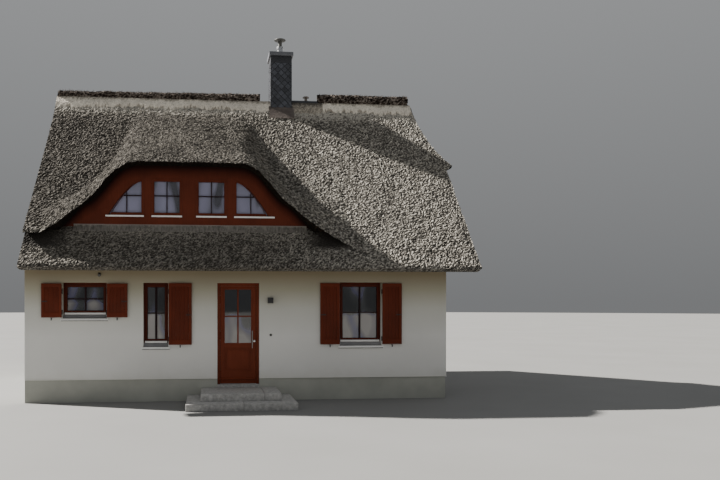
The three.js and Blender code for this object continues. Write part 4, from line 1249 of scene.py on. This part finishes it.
def add_wall_window(name, wall, mullion):
    """Frame, sash and bars over a sill of three parts: rain bar, grey slope and pale nose; the slope's grey
    is a painted dark reflection.
    """
    width, height, place = opening_of(name, wall)

    def inset(side, top=None, bottom=None):
        top = side if top is None else top
        bottom = side if bottom is None else bottom
        return rectangle(side, width - side, bottom, height - top)

    joinery = bmesh.new()
    ring(joinery, inset(0.0005), inset(0.05, bottom=0.138), 0.120, 0.184)
    ring(joinery, inset(0.046, bottom=0.130), inset(0.078, 0.090, 0.162), 0.106, 0.168)
    frame_node = f"{name}_frame"
    solid_piece(f"{name}_joinery", joinery, "recess_paint_shaded", replaces=(frame_node,), bevel=0.004, place=place)
    bars = bmesh.new()
    ring(bars, inset(0.076, 0.088, 0.160), inset(0.086, 0.098, 0.170), 0.122, 0.150)
    middle_x, middle_z = width / 2, (height + 0.170 - 0.098) / 2
    block(bars, (middle_x - mullion / 2, 0.110, 0.160), (middle_x + mullion / 2, 0.150, height - 0.09))
    block(bars, (0.076, 0.114, middle_z - 0.013), (width - 0.076, 0.149, middle_z + 0.013))
    solid_piece(f"{name}_bars", bars, "bar_paint_shaded", bevel=0.003, place=place)
    sill = bmesh.new()
    bar_along_x(sill, SILL_NOSE, -SILL_OUT, width + SILL_OUT)
    for x in (-SILL_OUT, width + 0.025):
        block(sill, (x, -0.045, -0.012), (x + 0.012, -0.001, 0.006))
    bar_along_x(sill, RAIN_BAR, 0.03, width - 0.03)
    replaced = (f"{name}_sill",) if wall == "front" else ()
    solid_piece(f"{name}_sill_metal", sill, "pale_sill", replaces=replaced, bevel=0.003, place=place)
    slope = bmesh.new()
    bar_along_x(slope, SILL_SLOPE, 0.001, width - 0.001)
    solid_piece(f"{name}_sill_slope", slope, "sill_slope", bevel=0.003, place=place)
    # Black strips as painted shadow lines: between the slope and the nose, and on the wall under the nose
    blocks_piece(f"{name}_sill_shadow_lines", [
        ((0.002, -0.006, 0.0035), (width - 0.002, 0.0003, 0.0125)),
        ((-0.030, -0.012, -0.052), (width + 0.030, -0.0005, -0.0395)),
    ], "black_metal", bevel=0.001, place=place)


# Shutters
SHUTTERS = {
    "shutter_small_left": ("small_left_leaf", -1), "shutter_small_right": ("small_right_leaf", 1),
    "shutter_tall_right": ("tall_right_leaf", 1), "shutter_right_left": ("right_left_leaf", -1),
    "shutter_right_right": ("right_right_leaf", 1),
}
KNUCKLE = 0.008
LEAF_EDGE = 0.010
LEAF_Y = (-0.054, -0.026)
STILE, TOP_RAIL, BOTTOM_RAIL = 0.062, 0.075, 0.110
BOARD_WIDTH = 0.085
STRAP_HEIGHT, STRAP_SHARE = 0.040, 0.72


def bar(shape, ends, y, z):
    """A block whose two ends along X come in either order."""
    block(shape, (min(ends), y[0], z[0]), (max(ends), y[1], z[1]))


def add_shutter(name, body, side):
    near, far = extent(name, 0) if side > 0 else extent(name, 0)[::-1]
    hinge = near + KNUCKLE * side
    z0, z1 = extent(name, 2)
    edge = hinge + LEAF_EDGE * side
    x0, x1 = min(edge, far), max(edge, far)
    leaf = bmesh.new()
    inner = rectangle(x0 + STILE, x1 - STILE, z0 + BOTTOM_RAIL, z1 - TOP_RAIL)
    ring(leaf, rectangle(x0, x1, z0, z1), inner, *LEAF_Y)
    solid_piece(f"{name}_leaf", leaf, "red_wood", body, (name,), bevel=0.0035)
    boards = max(3, round((x1 - x0 - 2 * STILE) / BOARD_WIDTH))
    step = (x1 - x0 - 2 * STILE) / boards
    low, high = z0 + BOTTOM_RAIL - 0.004, z1 - TOP_RAIL + 0.004
    lefts = [x0 + STILE + index * step for index in range(boards)]
    blocks_piece(f"{name}_boards", [
        ((left - 0.002, LEAF_Y[0] + 0.009, low), (left + step - 0.003, LEAF_Y[1] - 0.009, high))
        for left in lefts
    ], "panel_paint_shaded", body=body, bevel=0.0035)

    iron = bmesh.new()
    brackets = bmesh.new()
    up = min(0.130, (z1 - z0) / 6)
    for low in (z0 + up, z1 - up - STRAP_HEIGHT):
        high = low + STRAP_HEIGHT
        rod(iron, (hinge, -0.014, low), (hinge, -0.014, high), 0.0095)
        bar(iron, (hinge, hinge + (LEAF_EDGE + STILE) * side), (-0.027, -0.018), (low + 0.004, high - 0.004))
        strap = (edge, edge + (far - edge) * STRAP_SHARE)
        bar(iron, strap, (-0.026, -0.0215), (low + 0.006, high - 0.006))
        peg = hinge - 0.006 * side
        bar(brackets, (peg, hinge + 0.014 * side), (-0.0225, -0.001), (low - 0.031, low - 0.001))
        bar(brackets, (peg, hinge + 0.026 * side), (-0.005, -0.0003), (low - 0.06, low - 0.002))
    latch_z = (z0 + z1) / 2 - 0.02
    latch = (far - 0.012 * side, far - 0.125 * side)
    bar(iron, latch, (-0.0615, -0.0535), (latch_z - 0.011, latch_z + 0.011))
    rod(iron, (far - 0.035 * side, -0.078, latch_z), (far - 0.035 * side, -0.060, latch_z), 0.010)
    solid_piece(f"{name}_iron", iron, "black_metal", body, bevel=0.0015)
    middle = (x0 + x1) / 2
    bar(brackets, (middle - 0.008, middle + 0.008), (-0.052, -0.0003), (z0 - 0.026, z0 - 0.010))
    bar(brackets, (middle - 0.012, middle + 0.012), (-0.060, -0.050), (z0 - 0.062, z0 - 0.007))
    solid_piece(f"{name}_brackets", brackets, "black_metal", bevel=0.0015)


# Front door and small things on the wall
DOOR_PANE = (4.200, 4.800, 1.230, 2.420)
DOOR_PANEL = (4.200, 4.800, 0.620, 1.150)
DOOR_DRIP = (4.124, 4.882)
LOCK_AT, BELL_AT = (4.856, 1.285), (5.21, 1.42)
STEP_JOINTS = {"landing_step": 4.99, "lower_step": 4.55}


def round_piece(name, at, face, parts, material, body="house"):
    """Round parts on one axis square to the front. A part is (near, far, radius, sides)."""
    shape = bmesh.new()
    x, z = at
    for near, far, radius, sides in parts:
        rod(shape, (x, face + near, z), (x, face + far, z), radius, sides)
    solid_piece(name, shape, material, body, bevel=0.002)


def add_door_details():
    joinery = bmesh.new()
    face = extent("door_leaf", 1)[0]
    x0, x1, z0, z1 = DOOR_PANE
    ring(joinery, grown(DOOR_PANE, 0.014), grown(DOOR_PANE, -0.012), face - 0.007, face + 0.019)
    middle_x, middle_z = (x0 + x1) / 2, (z0 + z1) / 2
    block(joinery, (middle_x - 0.015, face - 0.003, z0 + 0.01), (middle_x + 0.015, face + 0.0195, z1 - 0.01))
    block(joinery, (x0 + 0.01, face - 0.002, middle_z - 0.014), (x1 - 0.01, face + 0.019, middle_z + 0.014))
    x0, x1, z0, z1 = DOOR_PANEL
    ring(joinery, grown(DOOR_PANEL, 0.012), grown(DOOR_PANEL, -0.014), face - 0.006, face + 0.0145)
    ring(joinery, grown(DOOR_PANEL, -0.060), grown(DOOR_PANEL, -0.062), face + 0.002, face + 0.0145)
    block(joinery, (x0 + 0.0615, face + 0.004, z0 + 0.0615), (x1 - 0.0615, face + 0.0145, z1 - 0.0615))
    drip = [(face - 0.030, 0.452), (face - 0.030, 0.460), (face, 0.492), (face, 0.452)]
    bar_along_x(joinery, drip, *DOOR_DRIP)
    solid_piece("door_mouldings", joinery, "door_paint_lit", "front_door", bevel=0.003)
    lock = [(-0.008, -0.0002, 0.026, 32), (-0.022, -0.007, 0.013, 24)]
    round_piece("door_lock", LOCK_AT, face, lock, "bare_metal", "front_door")
    threshold = ((4.111, 0.078, 0.3502), (4.899, 0.176, 0.3585))
    blocks_piece("door_threshold", [threshold], "bare_metal", bevel=0.002)


def add_fittings():
    lamp = [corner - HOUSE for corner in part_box("wall_lamp")]
    blocks_piece("wall_lamp_body", [lamp], "black_metal", replaces=("wall_lamp",), bevel=0.010)
    bell_parts = [(-0.012, -0.0002, 0.0275, 32), (-0.017, -0.011, 0.012, 24)]
    round_piece("door_bell", BELL_AT, 0, bell_parts, "dull_metal")
    spot = bmesh.new()
    block(spot, (1.52, -0.02, 2.690), (1.58, -0.0003, 2.750))
    rod(spot, (1.55, -0.075, 2.700), (1.55, -0.018, 2.728), 0.030, 24)
    solid_piece("eave_spot", spot, "dull_metal", bevel=0.003)


def add_base_trim():
    """White drip profile where the render ends over the base."""
    bottom = extent("front_wall_left", 2)[0]
    out, low, high = 0.009, bottom - 0.001, bottom + 0.012
    door = extent("front_wall_over_door", 0)
    blocks_piece("base_drip_profile", [
        ((0.001, -out, low), (door[0] - 0.002, 0.002, high)),
        ((door[1] + 0.002, -out, low), (WIDTH + out, 0.002, high)),
        ((WIDTH - 0.002, 0.002, low), (WIDTH + out, DEPTH - 0.002, high)),
        ((0.001, DEPTH - 0.002, low), (WIDTH + out, DEPTH + out, high)),
    ], "white_render", bevel=0.002)


def add_steps():
    """Each step is two cast blocks with a joint between them."""
    for name, joint in STEP_JOINTS.items():
        low, high = (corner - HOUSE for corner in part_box(name))
        blocks = [(low, (joint - 0.003, high.y, high.z)), ((joint + 0.003, low.y, low.z), high)]
        blocks_piece(f"{name}_blocks", blocks, "concrete", replaces=(name,), bevel=0.009)


add_camera()
add_light()
add_floor()
front_points = add_front_thatch()
add_apron(front_points)
back_points = add_back_thatch()
add_half_hip(front_points, back_points)
add_ridge_layer()
add_heather("left", 83)
add_heather("right", 85)
add_saddle_and_vent()
add_chimney()
for number, dormer_pane in enumerate(DORMER_PANES, 1):
    add_dormer_window(f"dormer_window_{number}", dormer_pane)
add_dormer_sheets()
shade_board_under_lip()
for window in WALL_WINDOWS:
    add_wall_window(*window)
for shutter, (leaf_body, hinge_side) in SHUTTERS.items():
    add_shutter(shutter, leaf_body, hinge_side)
add_door_details()
add_fittings()
add_base_trim()
add_steps()


# Solids that keep their shape and take a finish
KEPT = {
    "white_render": ["gable_wall", "party_wall"],
    "eave_shaded_render": ["front_wall_left", "front_wall_right", "front_wall_over_door", "back_wall"],
    "plinth_paint": ["plinth"],
    "concrete": ["ground_floor"],
    "floor_timber": ["upper_floor"],
    "board_paint_shaded": ["dormer_front"],
    "door_paint_lit": ["door_frame", "door_leaf"],
    "dormer_pane": ["dormer_glass"],
    "small_glass": ["window_small_glass"],
    "window_glass": [
        "door_glass", "window_tall_glass", "window_right_glass", "gable_window_low_glass",
        "gable_window_high_glass", "back_window_left_glass", "back_window_right_glass",
    ],
    "satin_metal": ["door_handle"],
    "slate": ["chimney_stack"],
}


def finish_kept_nodes():
    for key, names in KEPT.items():
        for name in names:
            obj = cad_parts[name]
            if not obj.material_slots:
                obj.data.materials.append(None)
            for slot in obj.material_slots:
                slot.material = MATERIALS[key]


finish_kept_nodes()
